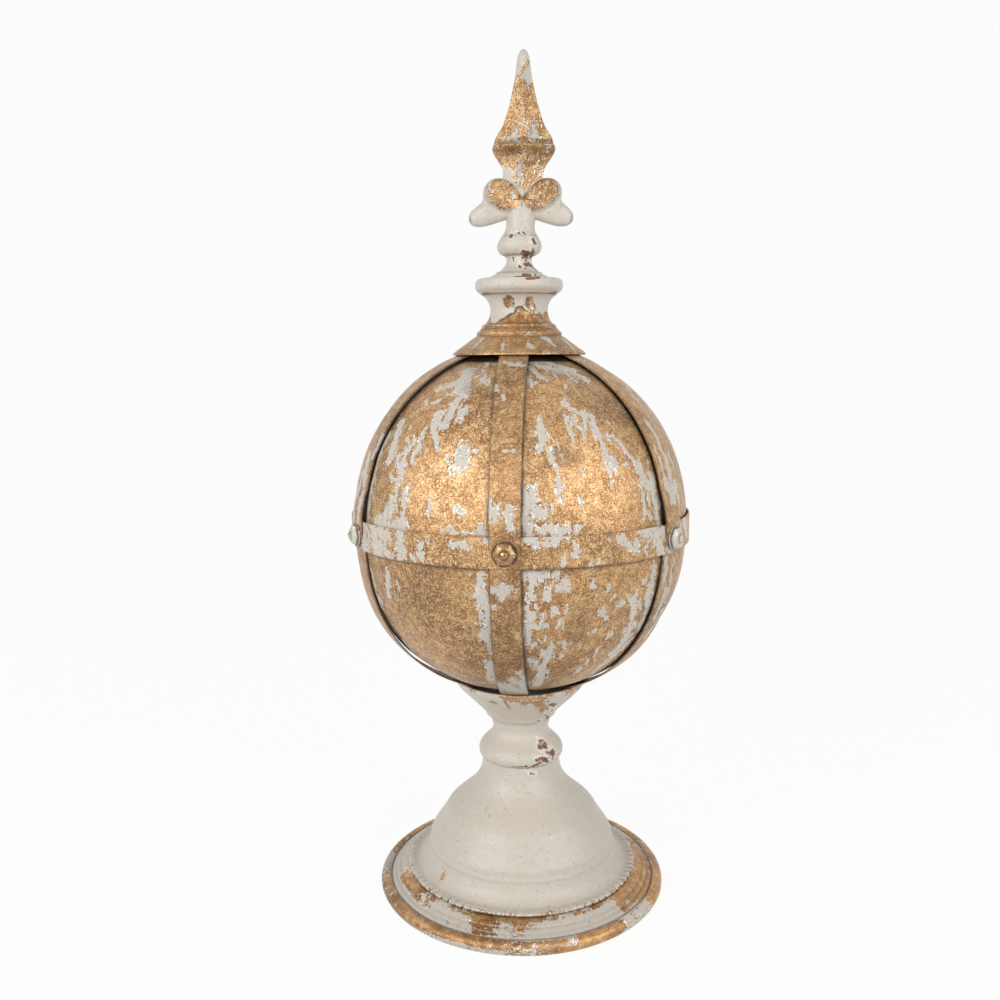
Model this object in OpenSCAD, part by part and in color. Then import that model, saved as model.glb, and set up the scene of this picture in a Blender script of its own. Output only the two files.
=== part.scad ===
// Ball finial on a spun foot: a hollow sheet-metal ball of six panels, held by
// straps and an equatorial hoop, between a moulded cap and a footed cup, with a
// cast fleur-de-lis spear on top. Axis +Z, feet on z = 0, sizes in millimetres.

/* [Sheet metal] */
// Thickness of the spun sheet of foot, cup and cap
sheet_t = 1.2; // [1:0.1:1.6]
// Thickness of the straps and the hoop
strap_t = 0.8; // [0.6:0.1:1]
// Width of the straps
strap_w = 15; // [10:0.5:18]

/* [Foot] */
// Radius of the foot plate to the outside of its rolled rim
foot_r = 81.4; // [78:0.2:90]
// Radius of the rolled rim's own round section
rim_r = 3.6; // [3:0.1:4.5]
// Height at which the bell's flange lies on the plate
flange_z = 12.8; // [11:0.2:15]
// Radius of the bell's toothed flange
flange_r = 65; // [62:0.2:68]
// Number of crimped teeth round the flange
teeth = 84; // [48:2:100]
// Radius of the bell at its widest moulding
bell_r = 52.2; // [50:0.2:55]
// Radius of the bell's upper dome
dome_r = 43.8; // [42:0.2:46]
// Height of the joint between bell and stem
joint_z = 75; // [72:0.5:78]
// Radius of that joint
joint_r = 22.2; // [21:0.2:23]

/* [Stem and cup] */
// Radius of the stem's bead
bead_r = 24.4; // [23:0.2:26]
// Radius of the stem's neck
neck_r = 15.6; // [14:0.2:17]
// Radius of the cup's lip
cup_r = 37.6; // [36:0.2:39]
// Height of the cup's lip
cup_z = 121.8; // [121:0.2:122]

/* [Ball] */
// Radius of the panels at the equator
ball_r = 90.9; // [90:0.1:92.5]
// Height of the equator above the floor
ball_z = 209.4; // [208:0.2:211]
// Height of the panels' lower half
low_h = 91.6; // [90:0.2:94]
// Height of the panels' upper half
top_h = 95; // [94:0.1:96]
// Squareness of the lower half's meridian (2 is a plain ellipse)
low_n = 2.12; // [2:0.02:2.4]
// Squareness of the upper half's meridian
top_n = 2.12; // [2:0.02:2.3]
// Azimuth of the first strap from the front, towards +X
strap_a = -5.6; // [-10:0.2:10]
// Number of straps in each half, and of panels
straps = 6; // [6:1:6]
// Open seam between two panels, under the straps
seam_w = 5; // [2:0.5:8]
// Gap between the straps and the panels
strap_lift = 1.2; // [0.8:0.1:1.4]
// Height of the hoop
hoop_h = 15.2; // [14:0.2:18]
// Radius of the bolt heads' flange
bolt_r = 6.2; // [5:0.1:7]

/* [Cap and collar] */
// Radius of the cap's rim
cap_r = 36; // [35:0.2:38]
// Height of the underside of the cap's rim
cap_z = 300.8; // [300:0.1:302]
// Radius of the cap's waist
waist_r = 15.4; // [14:0.2:17]
// Radius of the collar disc
disc_r = 23.6; // [22:0.2:25]
// Height of the underside of the collar disc
disc_z = 332.4; // [331:0.2:334]
// Thickness of the collar disc
disc_h = 8.6; // [7:0.2:10]

/* [Spear] */
// Radius of the bead on the finial's stem
knop_r = 11.5; // [10:0.2:13]
// Half the spread of the two side leaves
leaf_reach = 27.3; // [24:0.2:30]
// Half the width of the spear at its bar
spear_w = 16.2; // [14:0.2:18]
// Half the thickness of the spear at its bar
spear_d = 8.4; // [6:0.2:10]
// Height of the tip above the floor
tip_z = 458; // [450:0.5:464]

/* [Hidden] */
$fn = 96;
gilt = [0.66, 0.50, 0.29];
greige = [0.74, 0.72, 0.66];
steel = [0.55, 0.45, 0.30];
pitch_a = 360 / straps;
hoop_in = ball_r + strap_t;
hoop_out = hoop_in + strap_t;
disc_top = disc_z + disc_h;

// ---- outline helpers ----

// A point on the Bezier curve of the control points p
function bez(p, t) = len(p) == 1 ? p[0]
    : bez([for (i = [0:len(p) - 2]) p[i] * (1 - t) + p[i + 1] * t], t);

// n + 1 points along that curve
function curve(p, n) = [for (i = [0:n]) bez(p, i / n)];

// n + 1 points on an arc from angle a to angle b
function arc(c, r, a, b, n) = [for (i = [0:n]) c + r * [cos(a + (b - a) * i / n), sin(a + (b - a) * i / n)]];

function unit(v) = v / norm(v);

// The left-hand normal at point i of an open outline
function normal(p, i) =
  let (d = unit(p[min(i + 1, len(p) - 1)] - p[max(i - 1, 0)])) [-d[1], d[0]];

// The closed outline of a wall of thickness t on the left of the line p
function wall(p, t) = concat(p, [for (i = [len(p) - 1:-1:0]) p[i] + t * normal(p, i)]);

// A turned sheet whose outer face is the line p, drawn upwards
module turned_sheet(p, t) {
    rotate_extrude() polygon(wall(p, t));
}

// ---- ball meridian ----

// Point of the panels' outer face at meridian angle t; side is 1 above, -1 below
function meridian(t, side) = let (n = side > 0 ? top_n : low_n, h = side > 0 ? top_h : low_h)
    [ball_r * pow(cos(t), 2 / n), ball_z + side * h * pow(sin(t), 2 / n)];

function meridian_out(t, side) = let (a = meridian(max(t - 1, 0), side), b = meridian(min(t + 1, 89), side),
    d = unit(b - a)) [side * d[1], -side * d[0]];

function meridian_at(t, side, gap) = meridian(t, side) + gap * meridian_out(t, side);

// ---- foot ----

// Two low steps lead from the rolled rim up to the flange
module foot_plate() {
    rim_c = [foot_r - rim_r, rim_r - 0.2];
    groove_r = foot_r - 2 * rim_r + 1.2;
    step = 1.2;
    tread = (groove_r - flange_r - 2) / 3;
    line = concat(
        [[groove_r, rim_c[1] + 1.4], [groove_r - 0.5, rim_c[1] + 2.8]],
        [[groove_r - tread, rim_c[1] + 3.9], [groove_r - tread - 0.4, rim_c[1] + 3.9 + step]],
        [[groove_r - 2 * tread, rim_c[1] + 5.8], [groove_r - 2 * tread - 0.4, rim_c[1] + 5.8 + step]],
        [[flange_r - 1, flange_z - 0.6], [flange_r - 5, flange_z], [flange_r - 11, flange_z]]);
    color(gilt) union() {
        rotate_extrude() polygon(wall(line, sheet_t));
        rotate_extrude() intersection() {
            translate(rim_c) circle(r = rim_r);
            translate([foot_r - 2 * rim_r - 1, 0]) square([2 * rim_r + 2, 2 * rim_r + 1]);
        }
    }
}

// Bell of two stacked curves over a flared skirt, its flange cut into teeth
module foot_bell() {
    skirt_z = flange_z + sheet_t;
    ridge_z = skirt_z + 15.4;
    kink_z = ridge_z + 12.4;
    flare = curve([[flange_r - 3.4, skirt_z], [bell_r + 4, skirt_z + 0.4], [bell_r + 1.2, skirt_z + 5],
        [bell_r + 0.5, skirt_z + 11], [bell_r, ridge_z]], 10);
    lobe = curve([[bell_r - 0.4, ridge_z + 0.4], [bell_r - 3.2, ridge_z + 4.6], [dome_r + 0.6, kink_z]], 5);
    dome = curve([[dome_r, kink_z + 0.4], [dome_r - 2.2, kink_z + 6.6], [joint_r + 7.6, joint_z - 19.8],
        [joint_r + 1.4, joint_z - 15.5], [joint_r - 0.2, joint_z - 7], [joint_r - 0.2, joint_z]], 16);
    line = concat(flare, lobe, dome);
    tooth_d = 2.2;
    color(greige) union() {
        turned_sheet(line, sheet_t);
        difference() {
            union() {
                translate([0, 0, flange_z]) cylinder(r = flange_r - tooth_d / 2, h = sheet_t);
                translate([0, 0, flange_z]) linear_extrude(sheet_t) polygon([for (i = [0:2 * teeth - 1])
                    let (a = 180 * i / teeth, r = flange_r - (i % 2) * tooth_d) [r * cos(a), r * sin(a)]]);
            }
            translate([0, 0, flange_z - 1]) cylinder(r = flange_r - 4.4, h = sheet_t + 2);
        }
    }
}

// ---- stem and cup ----

// Bead, neck and open cup, spun as one piece
module stem_cup() {
    bead = curve([[joint_r, joint_z], [bead_r + 0.8, joint_z + 2], [bead_r + 1.6, joint_z + 9],
        [neck_r + 2.9, joint_z + 10.5], [neck_r, joint_z + 13], [neck_r, joint_z + 17.5]], 14);
    ring = [[neck_r + 1.2, joint_z + 22], [neck_r + 3.2, joint_z + 24.6], [neck_r + 4.1, joint_z + 25],
        [neck_r + 4.4, joint_z + 25.9]];
    cup = curve([[neck_r + 4.6, joint_z + 26.6], [neck_r + 9, joint_z + 31.5], [cup_r - 8.4, cup_z - 10.2],
        [cup_r - 2.2, cup_z - 5.8], [cup_r - 0.2, cup_z - 2.4], [cup_r, cup_z]], 12);
    color(greige) turned_sheet(concat(bead, ring, cup), sheet_t);
}

// ---- ball ----

panel_end = 76.5;

// One sixth of the ball, a curved sheet with open seams on both sides
module panel(i) {
    seam_a = seam_w / ball_r * 180 / PI;
    below = [for (t = [panel_end:-4.5:0]) meridian(t, -1)];
    above = [for (t = [4.5:4.5:panel_end]) meridian(t, 1)];
    line = concat(below, above);
    azimuth = strap_a + pitch_a * i;
    color(gilt) rotate([0, 0, azimuth - 90 + seam_a / 2])
        rotate_extrude(angle = pitch_a - seam_a) polygon(wall(line, sheet_t));
}

// A flat strip of the straps' width whose side outline lies in the meridian plane
module strip(i, outline) {
    azimuth = strap_a + pitch_a * i;
    rotate([0, 0, azimuth - 90]) rotate([90, 0, 0])
        linear_extrude(strap_w, center = true) polygon(outline);
}

// Meridian angle at which the straps end, inside the cap and the cup
strap_end = 71;
strap_steps = 13;

// Gap under a strap: none at angle first, full from rise degrees further on
function gap_at(t, first, rise) = strap_lift * sin(90 * min(max((t - first) / rise, 0), 1));

// Tucked under the hoop at the top and into the cup at the bottom
module lower_strap(i) {
    first = 4;
    path = concat([[ball_r, ball_z - 0.5]], [for (k = [0:strap_steps])
        let (t = first + (strap_end - first) * k / strap_steps) meridian_at(t, -1, gap_at(t, first, 36))]);
    color(gilt) strip(i, wall(path, strap_t));
}

// Runs from under the cap over the outside of the hoop, with a rounded tongue
module upper_strap(i) {
    first = 14;
    tongue_z = ball_z + 3;
    azimuth = strap_a + pitch_a * i;
    path = concat([for (k = [strap_steps:-1:0])
            let (t = first + (strap_end - first) * k / strap_steps) meridian_at(t, 1, gap_at(t, -14, 60))],
        [[hoop_out, ball_z + hoop_h / 2 + 1], [hoop_out, tongue_z - strap_w]]);
    color(gilt) intersection() {
        strip(i, wall(path, strap_t));
        rotate([0, 0, azimuth - 90]) union() {
            translate([0, -strap_w, tongue_z]) cube([2 * ball_r, 2 * strap_w, 2 * ball_r]);
            translate([0, 0, tongue_z]) rotate([0, 90, 0]) cylinder(r = strap_w / 2, h = 2 * ball_r);
        }
    }
}

module hoop() {
    color(gilt) difference() {
        translate([0, 0, ball_z - hoop_h / 2]) cylinder(r = hoop_out, h = hoop_h);
        translate([0, 0, ball_z - hoop_h]) cylinder(r = hoop_in, h = 2 * hoop_h);
    }
}

// Acorn-shaped head: flange, hexagon, dome and a small nub
module bolt(i) {
    seat = hoop_out + strap_t;
    azimuth = strap_a + pitch_a * i;
    color(steel) rotate([0, 0, azimuth - 90]) translate([seat, 0, ball_z]) rotate([0, 90, 0]) union() {
        cylinder(r = bolt_r, h = 0.8);
        translate([0, 0, 0.8]) cylinder(r = bolt_r * 0.88, h = 1.4, $fn = 6);
        translate([0, 0, 2.2]) cylinder(r1 = bolt_r * 0.76, r2 = bolt_r * 0.42, h = 1.7);
        translate([0, 0, 3.9]) cylinder(r = bolt_r * 0.28, h = 0.9);
    }
}

// ---- cap and collar ----

// Conical skirt, two fine beads and a waisted throat, spun as one piece
module cap() {
    skirt = [[cap_r, cap_z], [cap_r, cap_z + 0.9], [cap_r - 1.2, cap_z + 1.9], [cap_r - 11.2, cap_z + 9.2],
        [cap_r - 12.8, cap_z + 10]];
    bead_1 = arc([cap_r - 13.8, cap_z + 11.4], 0.9, -30, 80, 4);
    bead_2 = arc([cap_r - 16.6, cap_z + 15.2], 0.8, -30, 80, 4);
    throat = curve([[cap_r - 17.2, cap_z + 16.4], [waist_r + 0.2, cap_z + 18.6], [waist_r - 1.4, cap_z + 25],
        [waist_r + 0.6, cap_z + 29], [disc_r - 4, disc_z]], 10);
    color(gilt) turned_sheet(concat(skirt, bead_1, bead_2, throat), sheet_t);
}

// Hollow disc with a full rounded edge, closed above by its dished top
module collar() {
    mid = disc_z + disc_h / 2;
    edge = disc_h / 2 - 0.6;
    line = concat([[disc_r - 5.4, disc_z], [disc_r - 3.2, disc_z + 0.4]],
        curve([[disc_r - 2.2, disc_z + 1.4], [disc_r, disc_z + 2.6], [disc_r, mid]], 4),
        curve([[disc_r, mid + 1], [disc_r, disc_top - 0.1], [disc_r - 2.6, disc_top]], 5),
        [[disc_r - 7, disc_top + 0.2], [4, disc_top + 0.2]]);
    color(greige) turned_sheet(line, sheet_t);
}

// ---- fleur-de-lis spear ----

stem_top = disc_top + 42;
bar_z = tip_z - 49.5;
neck_w = 6.2;
waist_w = 10.8;
leaf_d = 6.4;
leaf_dome = 21;

// Smooth step from 0 to 1 between a and b
function ease(x, a, b) = let (u = min(max((x - a) / (b - a), 0), 1)) u * u * (3 - 2 * u);

// A rise and fall centred on c
function swell(x, c, w) = exp(-pow((x - c) / w, 2));

// Rounding of an end of radius r at distance v inside it
function blunt(v, r) = sqrt(1 - pow(1 - min(max(v / r, 0.08), 1), 2));

// Half width of the spear at height z: a long point over the bar, a waist below it
function spear_half(z) = let (v = tip_z - z, u = v / (tip_z - bar_z))
    z > bar_z ? blunt(v, 5) * (2.7 + 0.12 * v + (spear_w - 8.6) * pow(u, 2.7) + 1.2 * swell(v, 44, 4))
    : waist_w + (spear_w - waist_w) * ease(z, bar_z - 12, bar_z - 1)
        - (waist_w - neck_w) * (1 - ease(z, stem_top - 4, stem_top + 10));

// Half thickness of the spear at height z
function spear_deep(z) = let (v = tip_z - z, u = v / (tip_z - bar_z))
    z > bar_z ? blunt(v, 5) * (2.7 + (spear_d - 2.7) * pow(u, 1.3))
    : 6.4 + (spear_d - 6.4) * ease(z, bar_z - 12, bar_z);

// One level of the spear: a lozenge with hollow flanks, plumper at the bar
function spear_ring(z, n) = let (bar = swell(z, bar_z, 1.8), w = spear_half(z),
    d = spear_deep(z) + 1.2 * bar, q = 1.28 - 0.3 * bar)
    [for (i = [0:n - 1]) let (a = 360 * i / n, c = cos(a), s = sin(a))
        [w * sign(c) * pow(abs(c), q), d * sign(s) * pow(abs(s), q), z]];

// Skin over a list of closed rings of equal length
module skin(rings) {
    n = len(rings[0]);
    m = len(rings);
    polyhedron(points = [for (r = rings) for (p = r) p],
        faces = concat([[for (i = [0:n - 1]) i]], [[for (i = [n - 1:-1:0]) (m - 1) * n + i]],
            [for (j = [0:m - 2]) for (i = [0:n - 1]) let (k = (i + 1) % n)
                [j * n + i, (j + 1) * n + i, (j + 1) * n + k]],
            [for (j = [0:m - 2]) for (i = [0:n - 1]) let (k = (i + 1) % n)
                [j * n + i, (j + 1) * n + k, j * n + k]]), convexity = 6);
}

// Outline of the right-hand leaf: out of the stem, over its crown, round the drooping tip and back
leaf_outline = concat(
    curve([[2, stem_top + 3], [8, stem_top + 13], [19, stem_top + 13], [20.5, stem_top + 3],
        [20.8, stem_top - 3.8], [leaf_reach + 0.8, stem_top - 5.2], [leaf_reach + 0.5, stem_top - 10]], 14),
    curve([[leaf_reach + 0.4, stem_top - 10.8], [leaf_reach - 0.2, stem_top - 16], [19.4, stem_top - 16.6],
        [13, stem_top - 12], [7, stem_top - 10.5], [2, stem_top - 10]], 10));

// A leaf is that outline between two shallow domes; side is 1 at the right, -1 at the left
module side_leaf(side) {
    intersection() {
        rotate([90, 0, 0]) linear_extrude(4 * leaf_d, center = true)
            polygon([for (p = leaf_outline) [side * p[0], p[1]]]);
        translate([side * 13, leaf_dome - leaf_d, stem_top - 1]) sphere(r = leaf_dome);
        translate([side * 13, leaf_d - leaf_dome, stem_top - 1]) sphere(r = leaf_dome);
    }
}

// Casting: stepped foot, neck, bead, stem, two side leaves and the spear
module fleur_spear() {
    base = disc_top + 0.2;
    turned = concat([[0, base], [15, base], [15, base + 1.2], [12.6, base + 2.4]],
        curve([[12.4, base + 2.9], [6.4, base + 5.6], [5.4, base + 10.4], [8, base + 12]], 7),
        curve([[8.8, base + 12.3], [knop_r + 2.4, base + 14.2], [knop_r + 1.2, base + 21],
            [8, base + 21.6], [7.7, base + 27]], 9),
        [[7.9, stem_top], [0, stem_top + 4]]);
    color(greige) union() {
        rotate_extrude() polygon(turned);
        skin(concat([for (z = [stem_top - 3:3:bar_z - 6]) spear_ring(z, 20)],
            [for (z = [bar_z - 4:1:bar_z + 4]) spear_ring(z, 20)],
            [for (z = [bar_z + 7:3.4:tip_z - 6]) spear_ring(z, 20)],
            [for (v = [4, 2.4, 1.2, 0]) spear_ring(tip_z - v, 20)]));
        side_leaf(1);
        side_leaf(-1);
    }
}

foot_plate();
foot_bell();
stem_cup();
for (i = [1:6]) {
    panel(i - 1);
    lower_strap(i - 1);
    upper_strap(i - 1);
    bolt(i - 1);
}
hoop();
cap();
collar();
fleur_spear();
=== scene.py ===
"""Ball finial on a spun foot, in worn gold and greige paint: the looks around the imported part."""

import math

import bpy
import numpy as np
from mathutils import Euler, Matrix

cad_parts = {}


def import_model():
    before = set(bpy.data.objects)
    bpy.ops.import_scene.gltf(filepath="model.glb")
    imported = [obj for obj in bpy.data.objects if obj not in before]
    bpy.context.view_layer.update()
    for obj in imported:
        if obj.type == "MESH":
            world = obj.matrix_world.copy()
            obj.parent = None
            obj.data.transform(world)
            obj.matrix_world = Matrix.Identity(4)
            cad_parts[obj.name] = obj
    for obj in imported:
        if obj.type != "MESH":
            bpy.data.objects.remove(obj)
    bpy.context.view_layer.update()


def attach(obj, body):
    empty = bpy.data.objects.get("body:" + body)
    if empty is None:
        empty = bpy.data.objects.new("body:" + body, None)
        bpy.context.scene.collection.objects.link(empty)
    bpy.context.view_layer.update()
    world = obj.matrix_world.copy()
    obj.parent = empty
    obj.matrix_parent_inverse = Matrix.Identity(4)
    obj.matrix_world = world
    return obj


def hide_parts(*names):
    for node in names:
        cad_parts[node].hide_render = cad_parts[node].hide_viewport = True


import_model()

MM = 0.001

# ---- sizes shared with the part, in millimetres ----
SHEET, STRAP_T, STRAP_W = 1.2, 0.8, 15.0
FOOT_R, RIM_R, FLANGE_Z, FLANGE_R, TEETH = 81.4, 3.6, 12.8, 65.0, 84
BELL_R, DOME_R, JOINT_Z, JOINT_R = 52.2, 43.8, 75.0, 22.2
NECK_R, BEAD_R, CUP_R, CUP_Z = 15.6, 24.4, 37.6, 121.8
BALL_R, BALL_Z, LOW_H, TOP_H, BALL_N = 90.9, 209.4, 91.6, 95.0, 2.12
STRAP_A, SEAM_W, LIFT, HOOP_H, BOLT_R = -5.6, 5.0, 1.2, 15.2, 6.2
CAP_R, CAP_Z, WAIST_R, DISC_R, DISC_Z, DISC_H = 36.0, 300.8, 15.4, 23.6, 332.4, 8.6
KNOP_R, LEAF_REACH, SPEAR_W, SPEAR_D, TIP_Z = 11.5, 27.3, 16.2, 8.4, 458.0
HOOP_IN = BALL_R + STRAP_T
HOOP_OUT = HOOP_IN + STRAP_T
DISC_TOP = DISC_Z + DISC_H
STEM_TOP = DISC_TOP + 42
BAR_Z = TIP_Z - 49.5
SKIRT_Z = FLANGE_Z + SHEET
RIDGE_Z = SKIRT_Z + 15.4
WAIST_Z = CAP_Z + 21.8
PANEL_END, STRAP_END = 76.5, 71.0


# ---- numbers: noise, curves, easing ----
HASH_X, HASH_Y, HASH_Z, HASH_SEED, HASH_MIX = 73856093, 19349663, 83492791, 2654435761, 1274126177
LOW_BITS = 0xFFFF


def lattice(ix, iy, iz, seed):
    """A repeatable number from 0 to 1 for each cell of the noise's grid."""
    h = (ix * HASH_X) ^ (iy * HASH_Y) ^ (iz * HASH_Z) ^ (seed * HASH_SEED)
    h = (h ^ (h >> 13)) * HASH_MIX
    return ((h ^ (h >> 16)) & LOW_BITS) / LOW_BITS


def noise(p, size, seed=1):
    """Smooth value noise from -1 to 1 at points p, with features of the given size."""
    q = p / size
    i = np.floor(q).astype(np.int64)
    f = q - i
    f = f * f * (3 - 2 * f)
    total = 0.0
    for dx in (0, 1):
        for dy in (0, 1):
            for dz in (0, 1):
                w = abs(1 - dx - f[:, 0]) * abs(1 - dy - f[:, 1]) * abs(1 - dz - f[:, 2])
                total = total + w * lattice(i[:, 0] + dx, i[:, 1] + dy, i[:, 2] + dz, seed)
    return total * 2 - 1


def ease(x, a, b):
    """0 at a and 1 at b, with a smooth rise between them."""
    u = np.clip((x - a) / (b - a), 0, 1)
    return u * u * (3 - 2 * u)


def swell(x, c, w):
    """A bump of height 1 at c and half width about w."""
    return np.exp(-(((x - c) / w) ** 2))


def between(x, a, b, soft):
    """1 from a to b with soft ends."""
    return ease(x, a - soft, a + soft) * (1 - ease(x, b - soft, b + soft))


def bezier(points, n):
    """A Bezier curve through the first and last point, as n segments."""
    t = np.linspace(0, 1, n + 1)[:, None]
    p = [np.array(q, float)[None, :] for q in points]
    while len(p) > 1:
        p = [p[i] * (1 - t) + p[i + 1] * t for i in range(len(p) - 1)]
    return p[0]


def dense(line, step):
    """The polyline with every segment cut to at most step, its corners kept."""
    line = np.asarray(line, float)
    out = [line[:1]]
    for a, b in zip(line, line[1:]):
        n = max(1, math.ceil(np.linalg.norm(b - a) / step))
        out.append(a + (b - a) * (np.arange(1, n + 1) / n)[:, None])
    return np.concatenate(out)


def normals(line):
    """Unit normals to the left of a polyline."""
    d = np.gradient(line, axis=0)
    d /= np.maximum(np.linalg.norm(d, axis=1), 1e-9)[:, None]
    return np.stack([-d[:, 1], d[:, 0]], 1)


# ---- meshes ----
MATERIALS = {}


def add_piece(node, verts, quads, caps, fields, slot, sharp=38):
    """The skin that replaces a node: vertices in millimetres, quads and end caps, and its paint fields."""
    name = node.removeprefix("ball_") + "_skin"
    mesh = bpy.data.meshes.new(name)
    verts, quads = np.asarray(verts, float), np.asarray(quads)
    corner = [verts[quads[:, k]] for k in range(4)]
    volume = sum(np.einsum("ij,ij->", corner[0], np.cross(corner[m], corner[m + 1])) for m in (1, 2))
    if volume < 0:
        quads, caps = quads[:, ::-1], [np.asarray(c)[::-1] for c in caps]
    loops = [quads.ravel()] + [np.asarray(c) for c in caps]
    starts = np.concatenate([np.arange(len(quads)) * 4,
                             len(quads) * 4 + np.cumsum([0] + [len(c) for c in caps[:-1]]) if caps else []])
    loops = np.concatenate(loops).astype(np.int32)
    mesh.vertices.add(len(verts))
    mesh.vertices.foreach_set("co", (np.asarray(verts) * MM).ravel())
    mesh.loops.add(len(loops))
    mesh.loops.foreach_set("vertex_index", loops)
    mesh.polygons.add(len(starts))
    mesh.polygons.foreach_set("loop_start", starts.astype(np.int32))
    mesh.update(calc_edges=True)
    mesh.validate()
    mesh.polygons.foreach_set("use_smooth", np.ones(len(mesh.polygons), bool))
    mesh.set_sharp_from_angle(angle=math.radians(sharp))
    for key, data in fields.items():
        kind = "FLOAT_VECTOR" if np.ndim(data) == 2 else "FLOAT"
        layer = mesh.attributes.new(key, kind, "POINT")
        value = "vector" if kind == "FLOAT_VECTOR" else "value"
        layer.data.foreach_set(value, np.asarray(data, np.float32).ravel())
    obj = bpy.data.objects.new(name, mesh)
    bpy.context.scene.collection.objects.link(obj)
    mesh.materials.append(MATERIALS[slot])
    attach(obj, "root")
    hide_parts(node)


def grid_quads(m, n, wrap_m, wrap_n, base=0):
    """Quads of an m by n grid of vertices, row by row."""
    i = np.arange(m if wrap_m else m - 1)[:, None]
    j = np.arange(n if wrap_n else n - 1)[None, :]
    i2, j2 = (i + 1) % m, (j + 1) % n
    q = np.stack([i * n + j, i * n + j2, i2 * n + j2, i2 * n + j], -1)
    return q.reshape(-1, 4) + base


def flow_of(p, radius, stretch=0.3):
    """Coordinates whose noise streaks run down the piece, or round it when stretch is nought."""
    a = np.arctan2(p[:, 1], p[:, 0])
    if stretch == 0:
        return np.stack([np.cos(a) * radius * 0.3, np.sin(a) * radius * 0.3,
                         radius_of(p) + 1.5 * p[:, 2]], 1)
    return np.stack([np.cos(a) * radius, np.sin(a) * radius, p[:, 2] * stretch], 1)


def azimuth(p):
    """Degrees from the front, towards the right."""
    return np.degrees(np.arctan2(p[:, 0], -p[:, 1]))


def radius_of(p):
    """Distance from the finial's axis."""
    return np.hypot(p[:, 0], p[:, 1])


def turned(outline, columns, az0=-180.0, az1=180.0, radial=None):
    """A closed outline of (radius, height) carried round the axis; returns vertices, quads and caps."""
    outline = np.asarray(outline, float)
    whole = az1 - az0 >= 360
    a = np.radians(np.linspace(az0, az1, columns, endpoint=not whole))
    r = np.repeat(outline[None, :, 0], columns, 0)
    z = np.repeat(outline[None, :, 1], columns, 0)
    if radial is not None:
        r, z = radial(np.degrees(a)[:, None], r, z)
    verts = np.stack([r * np.sin(a)[:, None], -r * np.cos(a)[:, None], z], -1).reshape(-1, 3)
    m = len(outline)
    quads = grid_quads(columns, m, whole, True)
    caps = [] if whole else [np.arange(m), np.arange(m)[::-1] + (columns - 1) * m]
    return verts, quads, caps


def sheet_outline(outer, t, step=0.8, coarse=5):
    """Closed outline of a sheet of thickness t left of the line, its hidden side coarser."""
    fine = dense(outer, step)
    inner = (fine + t * normals(fine))[::-1]
    keep = np.unique(np.concatenate([np.arange(0, len(inner), coarse), [len(inner) - 1]]))
    return np.concatenate([fine, inner[keep]])


def join(parts):
    """Several vertex and face sets as one."""
    verts, quads, caps, base = [], [], [], 0
    for v, q, c in parts:
        verts.append(v)
        quads.append(q + base)
        caps += [np.asarray(k) + base for k in c]
        base += len(v)
    return np.concatenate(verts), np.concatenate(quads), caps


def loft(rings, capped=True):
    """A skin over closed rings of equal length."""
    rings = np.asarray(rings, float)
    m, n = rings.shape[:2]
    caps = [np.arange(n)[::-1], np.arange(n) + (m - 1) * n] if capped else []
    return rings.reshape(-1, 3), grid_quads(m, n, False, True), caps


def set_at(rings, az):
    """Rings of (outward, sideways, height) placed at an azimuth."""
    out, side, z = np.moveaxis(np.array(rings), -1, 0)
    a = math.radians(az)
    return np.stack([out * math.sin(a) + side * math.cos(a), side * math.sin(a) - out * math.cos(a), z], -1)


def out_of_true(v, share, size, seed):
    """Draws a turned piece in unevenly, by up to twice a share of its radius."""
    v[:, :2] *= (1 - share + share * noise(v, size, seed))[:, None]


# ---- chips: strokes laid on a surface in degrees of azimuth and millimetres of height ----
def stroke_field(p, strokes, slope=None, ragged=1.0, floor=-0.45):
    """1 along the middle of each ragged stroke, a half at its edge, below nought well outside."""
    az, z, r = azimuth(p), p[:, 2], radius_of(p)
    up = 1.0 if slope is None else slope
    push = ragged * (1.3 * noise(p, 5.5, 7) + 0.9 * noise(p, 2.4, 8))
    z = z + ragged * (1.6 * noise(p, 5.0, 9) + 1.0 * noise(p, 2.2, 10)) / up
    az = az + np.degrees(push / np.maximum(r, 5))
    field = np.full(len(p), floor)
    for a0, z0, a1, z1, w in strokes:
        k = np.pi / 180 * r
        x = ((az - a0 + 180) % 360 - 180) * k
        y = (z - z0) * up
        dx, dy = (a1 - a0) * k, (z1 - z0) * up
        t = np.clip((x * dx + y * dy) / np.maximum(dx * dx + dy * dy, 1e-6), 0, 1)
        d = np.hypot(x - t * dx, y - t * dy)
        field = np.maximum(field, 1 - 0.5 * d / w)
    return field


def meridian(t, side):
    """Radius and height of the ball at t degrees above (side 1) or below (side -1) its equator."""
    h = TOP_H if side > 0 else LOW_H
    t = np.radians(t)
    return np.stack([BALL_R * np.cos(t) ** (2 / BALL_N), BALL_Z + side * h * np.sin(t) ** (2 / BALL_N)], -1)


def meridian_at(t, side, gap):
    """The same line, moved outwards by a gap."""
    a, b = meridian(np.maximum(t - 1, 0), side), meridian(np.minimum(t + 1, 89), side)
    d = (b - a) / np.linalg.norm(b - a, axis=-1)[..., None]
    out = np.stack([side * d[..., 1], -side * d[..., 0]], -1)
    return meridian(t, side) + np.asarray(gap)[..., None] * out


def ball_slope(z):
    """Surface length per millimetre of height on the ball."""
    h = np.where(z > BALL_Z, TOP_H, LOW_H)
    u = np.clip(np.abs(z - BALL_Z) / h, 0, 0.97)
    return 1 / np.sqrt(np.maximum(1 - u ** 2, 0.08))


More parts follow.
